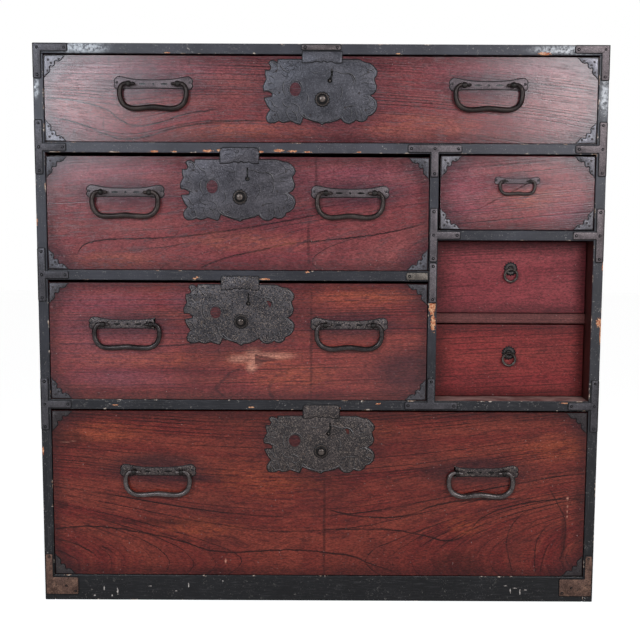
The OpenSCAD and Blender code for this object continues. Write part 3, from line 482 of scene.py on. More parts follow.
UPPER = dict(tone=(0.158, 0.026, 0.033), warm=(0.22, 0.06, 0.056), dark=(0.055, 0.013, 0.017), rough=0.2, strength=0.9,
             grainy=0.22)
INNER = dict(ring=0.0032, tilt=0.05, wobble=0.003, strength=0.75, rough=0.42, specular=0.22)
FACE = -0.2142
HANDLES = {"top": [(-262, 835), (262, 835)], "upper": [(-308.25, 667), (46.75, 667)],
           "lower": [(-308.25, 457.5), (46.75, 457.5)], "bottom": [(-262, 217), (262, 217)]}
fronts = {
    "top_drawer_front": dict(
        UPPER, heart=(0, FACE + 0.1, 0.6), tilt=-0.01, slope=0.064, bow=0.16, swells=[(-300, 752, 85, 70, 21)],
        seed=1.3, specular=0.56, grainy=0.2,
        lines=[[(-428, 784), (-380, 774), (-337, 757), (-310, 750), (-279, 753), (-232, 767), (-170, 776), (-85, 780)],
               [(-430, 814), (-376, 807), (-337, 796), (-316, 781), (-290, 771), (-248, 777), (-217, 788),
                (-150, 798)]],
        hole_shade=[(14.6, 846, 5.6, 14)] + slots_behind(HANDLES["top"]),
        halos=irons_on(-432, 432, 746, 878, HANDLES["top"], (2, 812)),
        glow=[(-110, 762, 90, 14), (150, 772, 70, 20)], haze_and_sheen=[(-262, 862, 110, 20), (300, 862, 90, 16)],
        streaks=[(-331, 870, 1.4, 9), (-387, 760, 2.2, 7), (-341, 776, 1.3, 11), (-262, 858, 5, 3), (-176, 778, 6, 2.4),
                 (-206, 868, 2, 5)]),
    "upper_drawer_front": dict(
        UPPER, heart=(-0.4, FACE + 0.115, 0.54), bow=-0.1, tilt=0.05, seed=2.9, specular=0.58,
        lines=[[(-389, 556), (-387, 564), (-383, 576), (-368, 587), (-349, 591), (-287, 594), (-225, 597), (-170, 604),
                (-116, 612), (-54, 623), (15, 638)],
               [(-190, 548), (-167, 558), (-130, 569), (-93, 577), (-54, 586), (0, 592), (60, 598), (120, 608),
                (171, 622)]],
        hole_shade=[(-115.5, 694, 5.6, 14)] + slots_behind(HANDLES["upper"]),
        halos=irons_on(-432, 171, 545, 723, [(-308, 667), (47, 667)], (-127, 660)),
        glow=[(-110, 590, 80, 14), (-330, 560, 60, 12)], haze_and_sheen=[(-340, 700, 90, 30), (60, 690, 90, 30)],
        streaks=[(-19, 588, 2.4, 40), (-7, 690, 2.2, 34)]),
    "lower_drawer_front": dict(
        heart=(-0.2, FACE + 0.1, 0.2), tone=(0.153, 0.021, 0.024), warm=(0.24, 0.052, 0.037),
        dark=(0.052, 0.012, 0.014), tilt=0.02, bow=-0.05, seed=4.1, strength=0.82, specular=0.34, bend=5,
        arches=[[(-143, 335), (-160, 345), (-167, 353), (-155, 368), (-139, 382), (-100, 394), (-46, 405), (17, 414)],
                [(-74, 335), (-79, 345), (-81, 354), (-70, 374), (-46, 387), (-8, 400), (60, 408), (129, 414)]],
        lines=[[(-420, 425), (-330, 424), (-260, 422), (-190, 428), (-120, 436), (-40, 440)]],
        hole_shade=[(-114.4, 496, 5.6, 14)] + slots_behind(HANDLES["lower"]),
        halos=irons_on(-432, 171, 336, 523, [(-308, 457), (47, 457)], (-127, 462)) + [(150, 380, 70, 40)],
        streaks=[(-14, 420, 2.4, 80)],
        pale=[(-107, 404, 13, 12), (-82, 407, 32, 5), (-126, 402, 16, 6), (-110, 389, 7, 7)],
        glow=[(75, 505, 66, 14), (-40, 370, 50, 18), (-95, 402, 52, 14), (-300, 400, 90, 10)],
        haze_and_sheen=[(-348, 448, 94, 58), (-350, 496, 86, 26), (-215, 500, 40, 18), (-330, 370, 80, 14)],
        wedge=(-104.5, 401, 40, 8.5)),
    "bottom_drawer_front": dict(
        heart=(-0.03, FACE + 0.125, 0.066), ring=0.005, tone=(0.114, 0.0115, 0.011), warm=(0.195, 0.038, 0.023),
        dark=(0.04, 0.008, 0.009), bow=-0.4, tilt=0.02, swells=[(364, 84, 26, 34, 7)], seed=6.2, strength=1.25,
        specular=0.2,
        lines=[[(-434, 119), (-369, 124), (-295, 115), (-229, 101), (-155, 82), (-98, 84), (-41, 86), (15.8, 81),
                (49, 77), (82, 64), (134, 47)],
               [(-434, 103), (-389, 90), (-360, 68), (-351, 47)], [(-434, 84), (-407, 74), (-389, 60), (-380, 47)],
               [(-359, 91), (-340, 82), (-327, 68), (-318, 47)],
               [(24, 120), (122, 120), (172, 111), (212, 103), (245, 120), (266, 141), (303, 158), (369, 171),
                (434, 175)],
               [(15.8, 154), (102, 141), (144, 145), (184, 160), (245, 171), (310, 173), (348, 176)]],
        arches=[[(319, 47), (310, 81), (307, 103), (315, 128), (340, 154), (393, 171)],
                [(356, 47), (354, 77), (360, 111), (384, 135), (434, 141)],
                [(364, 47), (369, 77), (380, 101), (434, 118)],
                [(394, 68), (402, 102), (402, 136), (395, 154), (382, 178), (364, 207)]],
        hole_shade=[(15.4, 286, 5.6, 15)] + slots_behind(HANDLES["bottom"]),
        halos=irons_on(-432, 432, 44, 316, HANDLES["bottom"], (3, 251)) + [(-262, 233, 62, 13), (-215, 206, 56, 8),
                                                                           (262, 230, 58, 11)],
        streaks=[(8.4, 120, 2.2, 84), (400, 112, 5, 44), (227, 64, 38, 20), (420, 223, 18, 4), (425, 174, 12, 10),
                 (-410, 268, 36, 14), (-418, 160, 9, 6), (-260, 132, 60, 5), (-167, 48, 22, 6)],
        glow=[(-79, 205, 90, 26), (-201, 122, 60, 14), (63, 285, 50, 22), (391, 258, 60, 16), (238, 128, 24, 14),
              (-348, 280, 60, 16)],
        pale=[(405, 174, 1.5, 2.4), (405, 161, 1, 2.2), (405, 152, 1, 2), (405, 144, 0.9, 1.8), (-153, 66.5, 1.3, 3.6),
              (-411, 264.5, 7, 1), (-399, 266, 4, 0.9)]),
    "small_drawer_front": dict(
        UPPER, heart=(0.3, FACE + 0.08, 0.4), tone=(0.2, 0.037, 0.045), warm=(0.24, 0.068, 0.066), tilt=0.09,
        wobble=0.003, seed=7.7, specular=0.62, halos=irons_on(190, 432, 611, 726, []) + [(310, 687, 40, 10)],
        glow=[(350, 660, 60, 14)], haze_and_sheen=[(215, 670, 50, 50), (400, 640, 40, 36)]),
    "inner_upper_front": dict(INNER, heart=(0.3, FACE + 0.34, 0.3), tone=(0.165, 0.02, 0.026),
                              warm=(0.215, 0.038, 0.042), dark=(0.07, 0.011, 0.014), seed=8.8),
    "inner_lower_front": dict(INNER, heart=(0.3, FACE + 0.34, 0.2), tone=(0.175, 0.018, 0.019),
                              warm=(0.24, 0.037, 0.03), dark=(0.065, 0.009, 0.01), seed=9.9),
}
for node, values in fronts.items():
    dress(node, zelkova(node + "_lacquer", node, **values), 0.0014)
dress("inner_shelf", zelkova("inner_shelf_wood", "inner_shelf", (0.3, FACE + 0.34, 0.2), (0.18, 0.05, 0.047),
                             (0.28, 0.095, 0.082), (0.08, 0.024, 0.023), 0.003, seed=3.3, strength=0.6, rough=0.45,
                             specular=0.2), 0.0012)

# The irons on the case: straps cut from thin plate, nailed over the joints of the
# boards. Those at the foot are rusted brown, the rest are black with a purple bloom.

# Forged iron: bloom over the black, brown rust in patches, pits and hammer marks
s, come, go = new_group("Forged iron", ["Colour", "Roughness", "Metallic", "Height"], Black=(0.1, 0.1, 0.1, 1),
                        Bloom=(0.2, 0.2, 0.2, 1), Rust=(0.2, 0.1, 0.05, 1), Rusted=0.2, Seed=0, Pitting=0.5)
at = s.vector("ADD", s.place(), s.join(come["Seed"], come["Seed"], come["Seed"]))
cloud, fine = s.noise(at, 40, 5, 0.6), s.noise(at, 330, 4, 0.65)
eaten = come["Rusted"] * 0.36
rust = s.ramp(s.noise(at, 75, 5, 0.7) * 0.7 + fine * 0.3, 0.68 - eaten, 0.86 - eaten)
colour = s.mix(rust, s.mix(s.ramp(cloud, 0.35, 0.68), come["Black"], come["Bloom"]), come["Rust"])
pits = s.ramp(fine, 0.56, 0.7) * (come["Pitting"] * 0.7)
s.feed(go["Colour"], s.mix(pits, colour, (0.012, 0.011, 0.012)))
s.feed(go["Roughness"], s.ramp(cloud, 0.3, 0.7, 0.4, 0.56) + rust * 0.25)
s.feed(go["Metallic"], 0.75 - rust * 0.6)
s.feed(go["Height"], s.noise(at, 120, 3) * 0.6 - pits)
iron_skin = s


def forged(name, black, bloom, seed, rusted=0.2, pitting=0.4, polish=0, rust=(0.13, 0.065, 0.04), relief=0.0006):
    """Forged iron for one kind of piece, flecked dark and bright."""
    material, s = new_material(name)
    skin = s.use(iron_skin, Black=black, Bloom=bloom, Rust=rust, Rusted=rusted, Seed=seed, Pitting=pitting)
    fleck = s.noise(s.place(), 640, 2, 0.6)
    s.colour = s.mix(s.ramp(fleck, 0.48, 0.38) * 0.45, skin["Colour"], toned(black, 0.45))
    s.coat(s.ramp(fleck, 0.56, 0.68) * 0.45, toned(bloom, 1.9))
    s.finish(Base_Color=s.colour, Specular_IOR_Level=0.5, Roughness=skin["Roughness"] - polish,
             Metallic=skin["Metallic"], Normal=s.bump(skin["Height"], relief, 0.7))
    return material


def select(*pieces):
    """Selects these pieces alone, the first as the active one."""
    bpy.ops.object.select_all(action="DESELECT")
    for piece in pieces:
        piece.select_set(True)
    bpy.context.view_layer.objects.active = pieces[0]


def open_mesh():
    bpy.ops.object.mode_set(mode="EDIT")
    bpy.ops.mesh.select_all(action="SELECT")


def close_mesh():
    """Turns every face outwards and leaves the mesh."""
    bpy.ops.mesh.select_all(action="SELECT")
    bpy.ops.mesh.normals_make_consistent(inside=False)
    bpy.ops.object.mode_set(mode="OBJECT")


def settle(piece, material, name, edge=None, turn=0.985):
    """Names a finished piece, puts its place into its mesh and gives it its material, and its edges theirs."""
    piece.name = name
    piece.data.materials.clear()
    piece.data.materials.append(material)
    select(piece)
    bpy.ops.object.transform_apply()
    open_mesh()
    close_mesh()
    bpy.ops.object.shade_smooth_by_angle(angle=math.radians(38))
    piece.select_set(False)
    if edge:
        piece.data.materials.append(edge)
        for face in piece.data.polygons:
            face.material_index = int(abs(face.normal.y) < turn)
    return piece


def hand_over(pieces, node, body):
    """Hides the CAD node that iron pieces stand for, and hangs them on the body they ride on."""
    for piece in pieces:
        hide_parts(node)
        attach(piece, body)


def rounded(corners, radius, steps=3):
    """An outline with its corners rounded. A corner may carry its own radius as a third value."""
    points = []
    for i, corner in enumerate(corners):
        here = Vector(corner[:2])
        own = corner[2] if len(corner) > 2 else radius
        before = Vector(corners[i - 1][:2]) - here
        after = Vector(corners[(i + 1) % len(corners)][:2]) - here
        reach = min(own, 0.45 * before.length, 0.45 * after.length)
        a, b = here + before.normalized() * reach, here + after.normalized() * reach
        for k in range(steps + 1):
            t = k / steps
            points.append(tuple((1 - t) ** 2 * a + 2 * t * (1 - t) * here + t ** 2 * b))
    return points


def shrunk(corners, inset):
    """The same corners, moved inwards by an inset."""
    area = sum(a[0] * b[1] - b[0] * a[1] for a, b in zip(corners, corners[1:] + corners[:1]))
    turn = 1 if area > 0 else -1
    moved = []
    for i, corner in enumerate(corners):
        here = Vector(corner[:2])
        before = (here - Vector(corners[i - 1][:2])).normalized()
        after = (Vector(corners[(i + 1) % len(corners)][:2]) - here).normalized()
        left = Vector((-before.y, before.x)) * turn
        middle = (left + Vector((-after.y, after.x)) * turn).normalized()
        moved.append((*(here + middle * inset / max(0.55, middle.dot(left))), *corner[2:]))
    return moved


def metres(points, x=0, z=0, wide=1, tall=1):
    """Millimetres about a place (x, z), stretched by wide and tall, as metres."""
    return [((x + wide * a) / 1000, (z + tall * b) / 1000) for a, b in points]


def cut_plate(outline, y, thick, inner=None):
    """A plate cut to an outline of (x, z) metres, its face at depth y. Inner is the face's outline inside its
    chamfer."""
    bpy.ops.mesh.primitive_circle_add(vertices=len(outline), radius=1, fill_type="NGON")
    piece = bpy.context.object
    for vertex, (x, z) in zip(piece.data.vertices, outline):
        vertex.co = (x, y + thick, z)
    fall = min(0.0006, 0.5 * thick) if inner else 0
    open_mesh()
    bpy.ops.mesh.extrude_region_move(TRANSFORM_OT_translate={"value": (0, fall - thick, 0)})
    if inner:
        bpy.ops.mesh.extrude_region_move(TRANSFORM_OT_translate={"value": (0, -fall, 0)})
        bpy.ops.object.mode_set(mode="OBJECT")
        for vertex in piece.data.vertices:
            if vertex.select:
                here = (vertex.co.x, vertex.co.z)
                nearest = min(range(len(outline)), key=lambda i: math.dist(here, outline[i]))
                vertex.co.x, vertex.co.z = inner[nearest]
        bpy.ops.object.mode_set(mode="EDIT")
    close_mesh()
    return piece


def dome(x, y, z, radius, height, segments=10):
    """A nail's domed head, standing out towards the front from depth y."""
    bpy.ops.mesh.primitive_uv_sphere_add(segments=segments, ring_count=8, radius=radius, location=(x, y, z),
                                         rotation=(math.pi / 2, 0, 0))
    head = bpy.context.object
    open_mesh()
    bpy.ops.mesh.bisect(plane_co=(x, y, z), plane_no=(0, 1, 0), clear_outer=True, use_fill=True)
    bpy.ops.object.mode_set(mode="OBJECT")
    head.scale.z = height / radius
    bpy.ops.object.transform_apply()
    return head


def join(pieces):
    select(*pieces)
    bpy.ops.object.join()
    return bpy.context.object


IRON = 0.0012
PROUD = 0.0001
rng = random.Random(7)


def strap(name, outline, nails, material):
    """A nailed strap. Outline and nails are in millimetres across and up."""
    y = CASE_FACE - IRON
    cut = cut_plate(metres(rounded(outline, 3)), y, IRON, metres(rounded(shrunk(outline, 1.5), 2)))
    heads = [dome(x, y + PROUD, z, 0.0025 * rng.uniform(0.9, 1.15), 0.0011, 12) for x, z in metres(nails)]
    return settle(join([cut] + heads), material, name, edge_grime_and_shade)


def placed(points, x=0, side=1):
    """The same points moved by x, or on the other side of the middle."""
    return [(x + side * a, *rest) for a, *rest in points]


def tee(x_out, x_in, x_arm, z_low, z_high, z0, z1):
    """A bar from x_out to x_in with an arm that reaches x_arm between z0 and z1."""
    return [(x_out, z_low), (x_in, z_low), (x_in, z0, 0.3), (x_arm, z0), (x_arm, z1), (x_in, z1, 0.3), (x_in, z_high),
            (x_out, z_high)]


# Near-black iron for the edge faces of plates and straps: grime, and painted shade along their edges
edge_grime_and_shade = forged("iron_edge_grime_and_shade", (0.005, 0.0045, 0.005), (0.013, 0.012, 0.013), 0.9, 0.05)
black_iron = forged("strap_iron", (0.046, 0.043, 0.048), (0.074, 0.067, 0.073), 0.4, 0.12)
purple_iron = forged("strap_iron_purple", (0.08, 0.065, 0.068), (0.142, 0.115, 0.118), 1.4)
divider_iron = forged("divider_iron", (0.074, 0.063, 0.068), (0.12, 0.101, 0.106), 2.4, 0.3)
beige_iron = forged("divider_arm_iron", (0.09, 0.074, 0.064), (0.184, 0.156, 0.132), 3.4, 0.3, 0.9,
                    rust=(0.1, 0.07, 0.05))
rusty_iron = forged("foot_iron", (0.074, 0.04, 0.03), (0.14, 0.078, 0.06), 4.4, 0.6, 1.3, rust=(0.24, 0.125, 0.08),
                    relief=0.0014)
CORNER_STRAP = [(450, 842.5), (436.5, 842.5), (436.5, 884, 0.3), (395, 884), (395, 897.5), (450, 897.5, 1)]
FOOT_STRAP = [(449, 9), (394, 9), (394, 40), (435.5, 40, 0.3), (435.5, 79), (449, 79)]
straps = [strap(f"{where}_strap_{label}", placed(outline, side=side), placed(nails, side=side), metal)
          for where, outline, nails, metals in (
              ("corner", CORNER_STRAP, [(443, 890.5), (401, 890.5), (443, 848.5)], (black_iron, purple_iron)),
              ("foot", FOOT_STRAP, [(400, 15), (442, 73), (415, 24)], (rusty_iron, rusty_iron)))
          for label, side, metal in zip(("left", "right"), (-1, 1), metals)]
hand_over(straps, "corner_straps", "case")
tees = []
for label, side, z, metal in [("upper_left", -1, 737, black_iron), ("middle_left", -1, 536, black_iron),
                              ("lower_left", -1, 327, black_iron), ("upper_right", 1, 737, purple_iron),
                              ("middle_right", 1, 601.5, purple_iron), ("lower_right", 1, 327, black_iron)]:
    outline = tee(450, 436.5, 400, z - 43, z + 43, z - 6.75, z + 6.75)
    nails = [(443.2, z - 37), (443.2, z), (443.2, z + 37), (406, z)]
    tees.append(strap("tee_strap_" + label, placed(outline, side=side), placed(nails, side=side), metal))
# The straps on the divider, across from its middle; half is half the width of a strap
DIVIDER_X, HALF = 179.5, 6.75
for label, metal, outline, nails in [
        ("top", divider_iron, [(-43, 730.25), (-HALF, 730.25, 0.3), (-HALF, 692), (HALF, 692), (HALF, 730.25, 0.3),
                               (43, 730.25), (43, 743.75), (-43, 743.75)], [(-37, 737), (0, 737), (37, 737), (0, 698)]),
        ("right", divider_iron, tee(-HALF, HALF, 43.25, 558.5, 644.5, 594.75, 608.25),
         [(0, 564.5), (0, 601.5), (0, 638.5), (37.2, 601.5)]),
        ("left", divider_iron, [(-HALF, 493), (HALF, 493), (HALF, 558), (-HALF, 558)], [(0, 499), (0, 552)]),
        ("left_arm", beige_iron, [(-6.95, 529.25, 0.3), (-43.25, 529.25), (-43.25, 542.75), (-6.95, 542.75, 0.3)],
         [(-37.2, 536)]),
        ("foot", black_iron, [(-43, 320.25), (43, 320.25), (43, 333.75), (HALF, 333.75, 0.3), (HALF, 372), (-HALF, 372),
                              (-HALF, 333.75, 0.3), (-43, 333.75)], [(-37, 327), (37, 327), (0, 366)])]:
    tees.append(strap("divider_strap_" + label, placed(outline, DIVIDER_X), placed(nails, DIVIDER_X), metal))
hand_over(tees, "tee_straps", "case")
keeper_iron = forged("keeper_iron", (0.06, 0.048, 0.048), (0.105, 0.084, 0.082), 5.4, 0.25)
keeper = strap("keeper_cut_plate", [(-31.5, 887), (31.5, 887), (31.5, 897.5), (-31.5, 897.5)], [(-25, 892), (25, 892)],
               keeper_iron)
hand_over([keeper], "keeper_plate", "case")

# The corner mounts: pierced brackets of thin polished iron on the corners of each
# front, each with a lobe on either leg and one on the slant, nailed through them.

CORNER = [(0, 0, 0.3), (34, 0, 0.3), (30.5, 2.6), (28.5, 5.6), (25.5, 8.3), (21.5, 9.6), (18.4, 8.2), (16.6, 10.6),
          (17.2, 13.6), (15.4, 16.6), (12.6, 17.4), (10.2, 16.2), (8.6, 18.6), (9.8, 22), (8.8, 25.6), (6, 28.2),
          (3, 30.4), (0, 35, 0.3)]
CORNER_NAILS = [(23.4, 5.4), (6.4, 6.8), (11, 11.6), (5.4, 23.6)]
nail_iron = forged("nail_iron", (0.03, 0.026, 0.028), (0.05, 0.042, 0.042), 6.4)
# The same iron painted row by row: a painted reflection brightens the top mounts, painted shade darkens those lower
# down
mount_irons_lit_by_row = {
    "top": forged("mount_iron_top", (0.142, 0.133, 0.15), (0.232, 0.22, 0.238), 7.1, 0.05, pitting=0.25),
    "upper": forged("mount_iron_upper", (0.06, 0.055, 0.062), (0.095, 0.09, 0.1), 8.1, 0.1),
    "lower": forged("mount_iron_lower", (0.052, 0.047, 0.052), (0.081, 0.073, 0.08), 9.1, 0.15),
    "bottom": forged("mount_iron_bottom", (0.033, 0.026, 0.028), (0.052, 0.043, 0.043), 10.1, 0.25),
    "small": forged("mount_iron_small", (0.085, 0.078, 0.087), (0.156, 0.143, 0.154), 11.1, 0.1),
}
CORNER_INSET = 0.4
for label, metal in mount_irons_lit_by_row.items():
    low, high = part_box(label + "_drawer_front")
    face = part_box(label + "_drawer_corners")[0][1]
    cuts, heads = [], []
    for sx, x in ((1, 1000 * low[0] + CORNER_INSET), (-1, 1000 * high[0] - CORNER_INSET)):
        for sz, z in ((1, 1000 * low[2] + CORNER_INSET), (-1, 1000 * high[2] - CORNER_INSET)):
            scale = rng.uniform(0.94, 1)
            outer, inner = [metres(rounded(corners, 1.2, 2), x, z, sx * scale, sz * scale)
                            for corners in (CORNER, shrunk(CORNER, 1.2))]
            cuts.append(cut_plate(outer, face, 0.001, inner))
            heads += [dome(nx, face + PROUD, nz, 0.002, 0.0004)
                      for nx, nz in metres(CORNER_NAILS, x, z, sx * scale, sz * scale)]
    name = label + "_corner_mounts"
    hand_over([settle(join(cuts), metal, name, edge_grime_and_shade), settle(join(heads), nail_iron, name + "_nails")],
              label + "_drawer_corners", label + "_drawer")

# The locks: a plate cut as leaves and lobes, a tongue that laps the rail above, a
# scalloped washer and a knob. The two upper plates are engraved, the two lower ones
# punched all over. Each covers the mouth of the bolt's slot and the keyhole.

# Outline of a plate about its knob, in millimetres, clockwise from the top left
LOCK = [(-68, 61.5, 0.5), (56, 61.5), (63, 58.5), (67, 57), (71.5, 57.2), (75.5, 54.5), (79.5, 51), (84, 44.5),
        (83.6, 37.5), (80.5, 33, 0.5), (82, 27), (84.6, 21.5), (83.2, 14.5), (79.5, 9.4), (74.5, 6.6, 0.4), (79.5, 3),
        (83.5, -2.5), (84.6, -10), (82.8, -17.5), (77.5, -23.5), (71.5, -25.8, 0.4), (69.5, -31), (64, -35),
        (57.5, -35.4), (52.5, -32.8, 0.4), (48.5, -36), (42.5, -38.2), (35.5, -36.8), (31, -33), (29, -29.5, 0.4),
        (22, -33), (12, -36.2), (4.5, -37.2), (0, -40.5, 0.6), (-5.5, -37.2), (-14, -34.8), (-22.5, -31),
        (-27.5, -26, 0.4), (-31, -35), (-33.5, -39, 0.4), (-38.5, -38), (-44, -36.2), (-48.5, -34.2, 0.4),
        (-54, -36.4), (-60.5, -37.6), (-66.5, -34.6, 0.4), (-72, -37.2), (-80.5, -37.4), (-85.2, -34.2),
        (-86.4, -27.5), (-84, -21), (-80.5, -16, 0.4), (-85.8, -9), (-89, -2.5), (-90.4, 3.2, 0.5), (-84.5, 4.4),
        (-78, 4.6), (-77.6, 9.6), (-83, 12), (-90.2, 12.6, 0.5), (-90.8, 20.5), (-88, 27), (-86, 31, 0.4),
        (-88.6, 38.5), (-88.4, 45.5, 0.5), (-82, 45), (-79.6, 49), (-83.6, 55.5), (-80, 60), (-74, 60.4),
        (-69.5, 56.5, 0.5)]
LOCK_NAILS = [(-70.9, 43.1), (70.2, 42.2), (-65.9, 9.8), (56.6, 9.8), (35.2, -12.6), (-72.8, -24.2), (-18.6, -24.2),
              (66.8, -16.4)]


def turned(profile, x, y, z, sides=24, petals=0, depth=0):
    """A disc turned about the front-to-back axis from (radius, how far out) steps, or scalloped by petals."""
    bpy.ops.mesh.primitive_circle_add(vertices=sides, radius=profile[0][0], fill_type="NGON",
                                      location=(x, y - profile[0][1], z), rotation=(math.pi / 2, 0, 0))
    piece = bpy.context.object
    bpy.ops.object.transform_apply()
    open_mesh()
    for (r0, d0), (r1, d1) in zip(profile, profile[1:]):
        bpy.ops.mesh.extrude_region_move(TRANSFORM_OT_translate={"value": (0, d0 - d1, 0)})
        bpy.ops.transform.resize(value=(r1 / r0, 1, r1 / r0), center_override=(x, y - d1, z))
    bpy.ops.object.mode_set(mode="OBJECT")
    if petals:
        for vertex in piece.data.vertices:
            across, up = vertex.co.x - x, vertex.co.z - z
            k = 1 - depth * (0.5 - 0.5 * math.cos(petals * math.atan2(up, across))) ** 1.5
            vertex.co.x, vertex.co.z = x + across * k, z + up * k
    return piece


def lock_iron(name, black, bloom, rust, rusted, seed, punched):
    """Plate iron, engraved with scrolls or punched all over."""
    material, s = new_material(name)
    at = s.place()
    skin = s.use(iron_skin, Black=black, Bloom=bloom, Rust=rust, Rusted=rusted, Seed=seed, Pitting=0.3)
    s.colour, height = skin["Colour"], skin["Height"]
    fleck = s.noise(at, 620, 2, 0.6)
    if punched:
        dots = s.ramp(s.add("TexVoronoi", {"Vector": at, "Scale": 400}, "Distance"), 0.2, 0.44)
        s.coat(1 - dots, (0.014, 0.012, 0.013))
        s.coat(s.ramp(fleck, 0.56, 0.64) * 0.8, (0.21, 0.165, 0.14))
        height = height + dots
    else:
        s.coat(s.ramp(fleck, 0.5, 0.4) * 0.5, (0.026, 0.025, 0.03))
        s.coat(s.ramp(fleck, 0.58, 0.7) * 0.5, (0.16, 0.15, 0.165))
        band = abs(s.math("FRACT", s.noise(at, 40, 1, 0.5, 1.2) * 11) - 0.5)
        veined = (1 - s.ramp(band, 0.02, 0.1)) * s.ramp(s.noise(at, 26), 0.44, 0.54)
        s.coat(veined * 0.55, (0.018, 0.017, 0.02))
        height = height - veined * 0.9
    s.finish(Base_Color=s.colour, Specular_IOR_Level=0.5, Roughness=skin["Roughness"], Metallic=skin["Metallic"],
             Normal=s.bump(height, 0.0005, 0.8))
    return material


def pierce(piece, outline, y):
    """Cuts an outline right through a plate whose face is at depth y."""
    cutter = cut_plate(outline, y - 0.003, 0.006)
    select(piece)
    hole = piece.modifiers.new("Hole", "BOOLEAN")
    hole.object = cutter
    hole.solver = "EXACT"
    bpy.ops.object.modifier_apply(modifier="Hole")
    bpy.data.objects.remove(cutter)


def arc(x, z, rx, rz, start=0, stop=360, n=7):
    """Points of an arc in millimetres, from one angle in degrees to another."""
    angles = [math.radians(start + (stop - start) * k / (n - 1)) for k in range(n)]
    return [(x + rx * math.cos(a), z + rz * math.sin(a)) for a in angles]


def ellipse(x, z, rx, rz, n=24):
    return arc(x, z, rx, rz, n=n + 1)[:-1]


# Lines cut into a plate about its knob, in millimetres: folds of the leaves, veins of the lobes, and scrolls
ENGRAVED = [
    [(-36, -19), (-30, -27), (-16, -32.4), (-0.5, -35.2), (14, -32.6), (26, -27), (34, -20)],
    [(12, 44.5), (22, 42.5), (30, 39.2), (40, 39.2), (46.6, 36), (50.2, 30), (50.4, 22)],
    [(33.5, 36.4), (36.6, 39), (41, 39.8), (45.8, 37.4), (48.4, 32.6), (47.8, 27)],
    [(53, 37.8), (59, 43.6), (66, 48)], [(55, 33.6), (63, 38), (72, 41)], [(56, 29), (64, 32), (73, 32.4)],
    [(55.5, 24.5), (65, 25.6), (76, 23)], [(66, 51), (69, 46), (75, 44.6), (79, 40)],
    [(60, 3), (68, 5), (72, 1), (70, -6), (64, -8)], [(74, 3), (80, -4), (80, -13), (75, -19)],
    [(43, -13), (44.6, -22), (42.6, -33)], [(57, -13), (60, -22), (62, -31)], [(70, -9), (75, -13), (80.5, -15)],
    [(50, -16), (52.4, -24), (52.4, -32)], [(30, -16), (36, -12), (44, -10), (54, -11)],
    [(-81, 53), (-76, 55.6), (-69, 50), (-72, 42), (-81, 40)], [(-66, 55), (-62, 47), (-56, 42), (-48, 40)],
    [(-85, 36), (-77, 34), (-72, 29)], [(-86, 24), (-78, 24), (-72, 20)], [(-80, 10), (-73, 8), (-68, 2)],
    [(-86, 0), (-78, -4), (-74, -11), (-66, -13)], [(-82, -12), (-76, -18), (-68, -19)],
    [(-71, -18), (-68, -26), (-66.5, -33)], [(-57, -17), (-54, -25), (-49, -33)], [(-44, -18), (-40, -26), (-38, -35)],
    [(-80, -24), (-76, -30), (-72, -35)], [(-50, -6), (-42, -8), (-36, -14), (-38, -20), (-45, -20), (-47, -14)],
    [(-62, 0), (-60, -8), (-52, -12), (-46, -10)], [(-26, 10), (-22, 2), (-24, -6), (-30, -11)],
    [(26, 22), (30, 14), (28, 4), (22, -4)], [(-20, 44), (-12, 40), (-2, 42)],
    [(-56, 30), (-60, 24), (-60, 12), (-55, 3)],
]


def tube(lines, radius, fineness):
    """Round bars along lines of (x, y, z, share of the radius), closed at their ends."""
    bpy.ops.curve.primitive_nurbs_path_add(location=(0, 0, 0))
    curve = bpy.context.object.data
    curve.splines.clear()
    for line in lines:
        spline = curve.splines.new("BEZIER")
        spline.bezier_points.add(len(line) - 1)
        for knot, (x, y, z, share) in zip(spline.bezier_points, line):
            knot.co = (x, y, z)
            knot.handle_left_type = knot.handle_right_type = "AUTO"
            knot.radius = share
    curve.dimensions, curve.use_fill_caps = "3D", True
    curve.bevel_depth, curve.bevel_resolution, curve.resolution_u = radius, fineness, 5
    bpy.ops.object.convert(target="MESH")
    return bpy.context.object


def engraved(name, lines, face, material, width=0.0007):
    """Lines cut in a plate, filled with soot: fine dark threads that lie almost flush in its face."""
    shares = [[0.75] + [1] * (len(line) - 2) + [0.75] for line in lines]
    return settle(tube([[(x, face + 0.7 * width, z, share) for (x, z), share in zip(line, own)]
                        for line, own in zip(lines, shares)], width, 1), material, name)


washer_iron = forged("washer_iron", (0.03, 0.023, 0.021), (0.062, 0.047, 0.04), 12.2, 0.3)
knob_iron = forged("knob_iron", (0.055, 0.042, 0.037), (0.14, 0.112, 0.098), 13.2, 0.1, pitting=0.15,
                   polish=0.16)
# Near-black iron: soot in the engraved lines, and painted shade on the ring under each knob and the knob's flanks
soot_and_shade_iron = forged("soot_and_shade_iron", (0.005, 0.004, 0.004), (0.01, 0.008, 0.008), 13.9, 0.05)
painted_highlight_iron = forged("rim_highlight_iron", (0.095, 0.088, 0.09), (0.2, 0.19, 0.19), 14.4, 0.1, pitting=0.2)
hook_key = [(9.6, 28), (10.6, 32.6), (13.2, 36.6), (13, 46.2), (14.8, 47.4), (16.2, 45.6), (16.6, 38.6), (15, 33),
            (13.4, 28)]
straight_key = [(10.4, 28), (10.5, 46.4), (13.3, 46.4), (13.2, 28)]
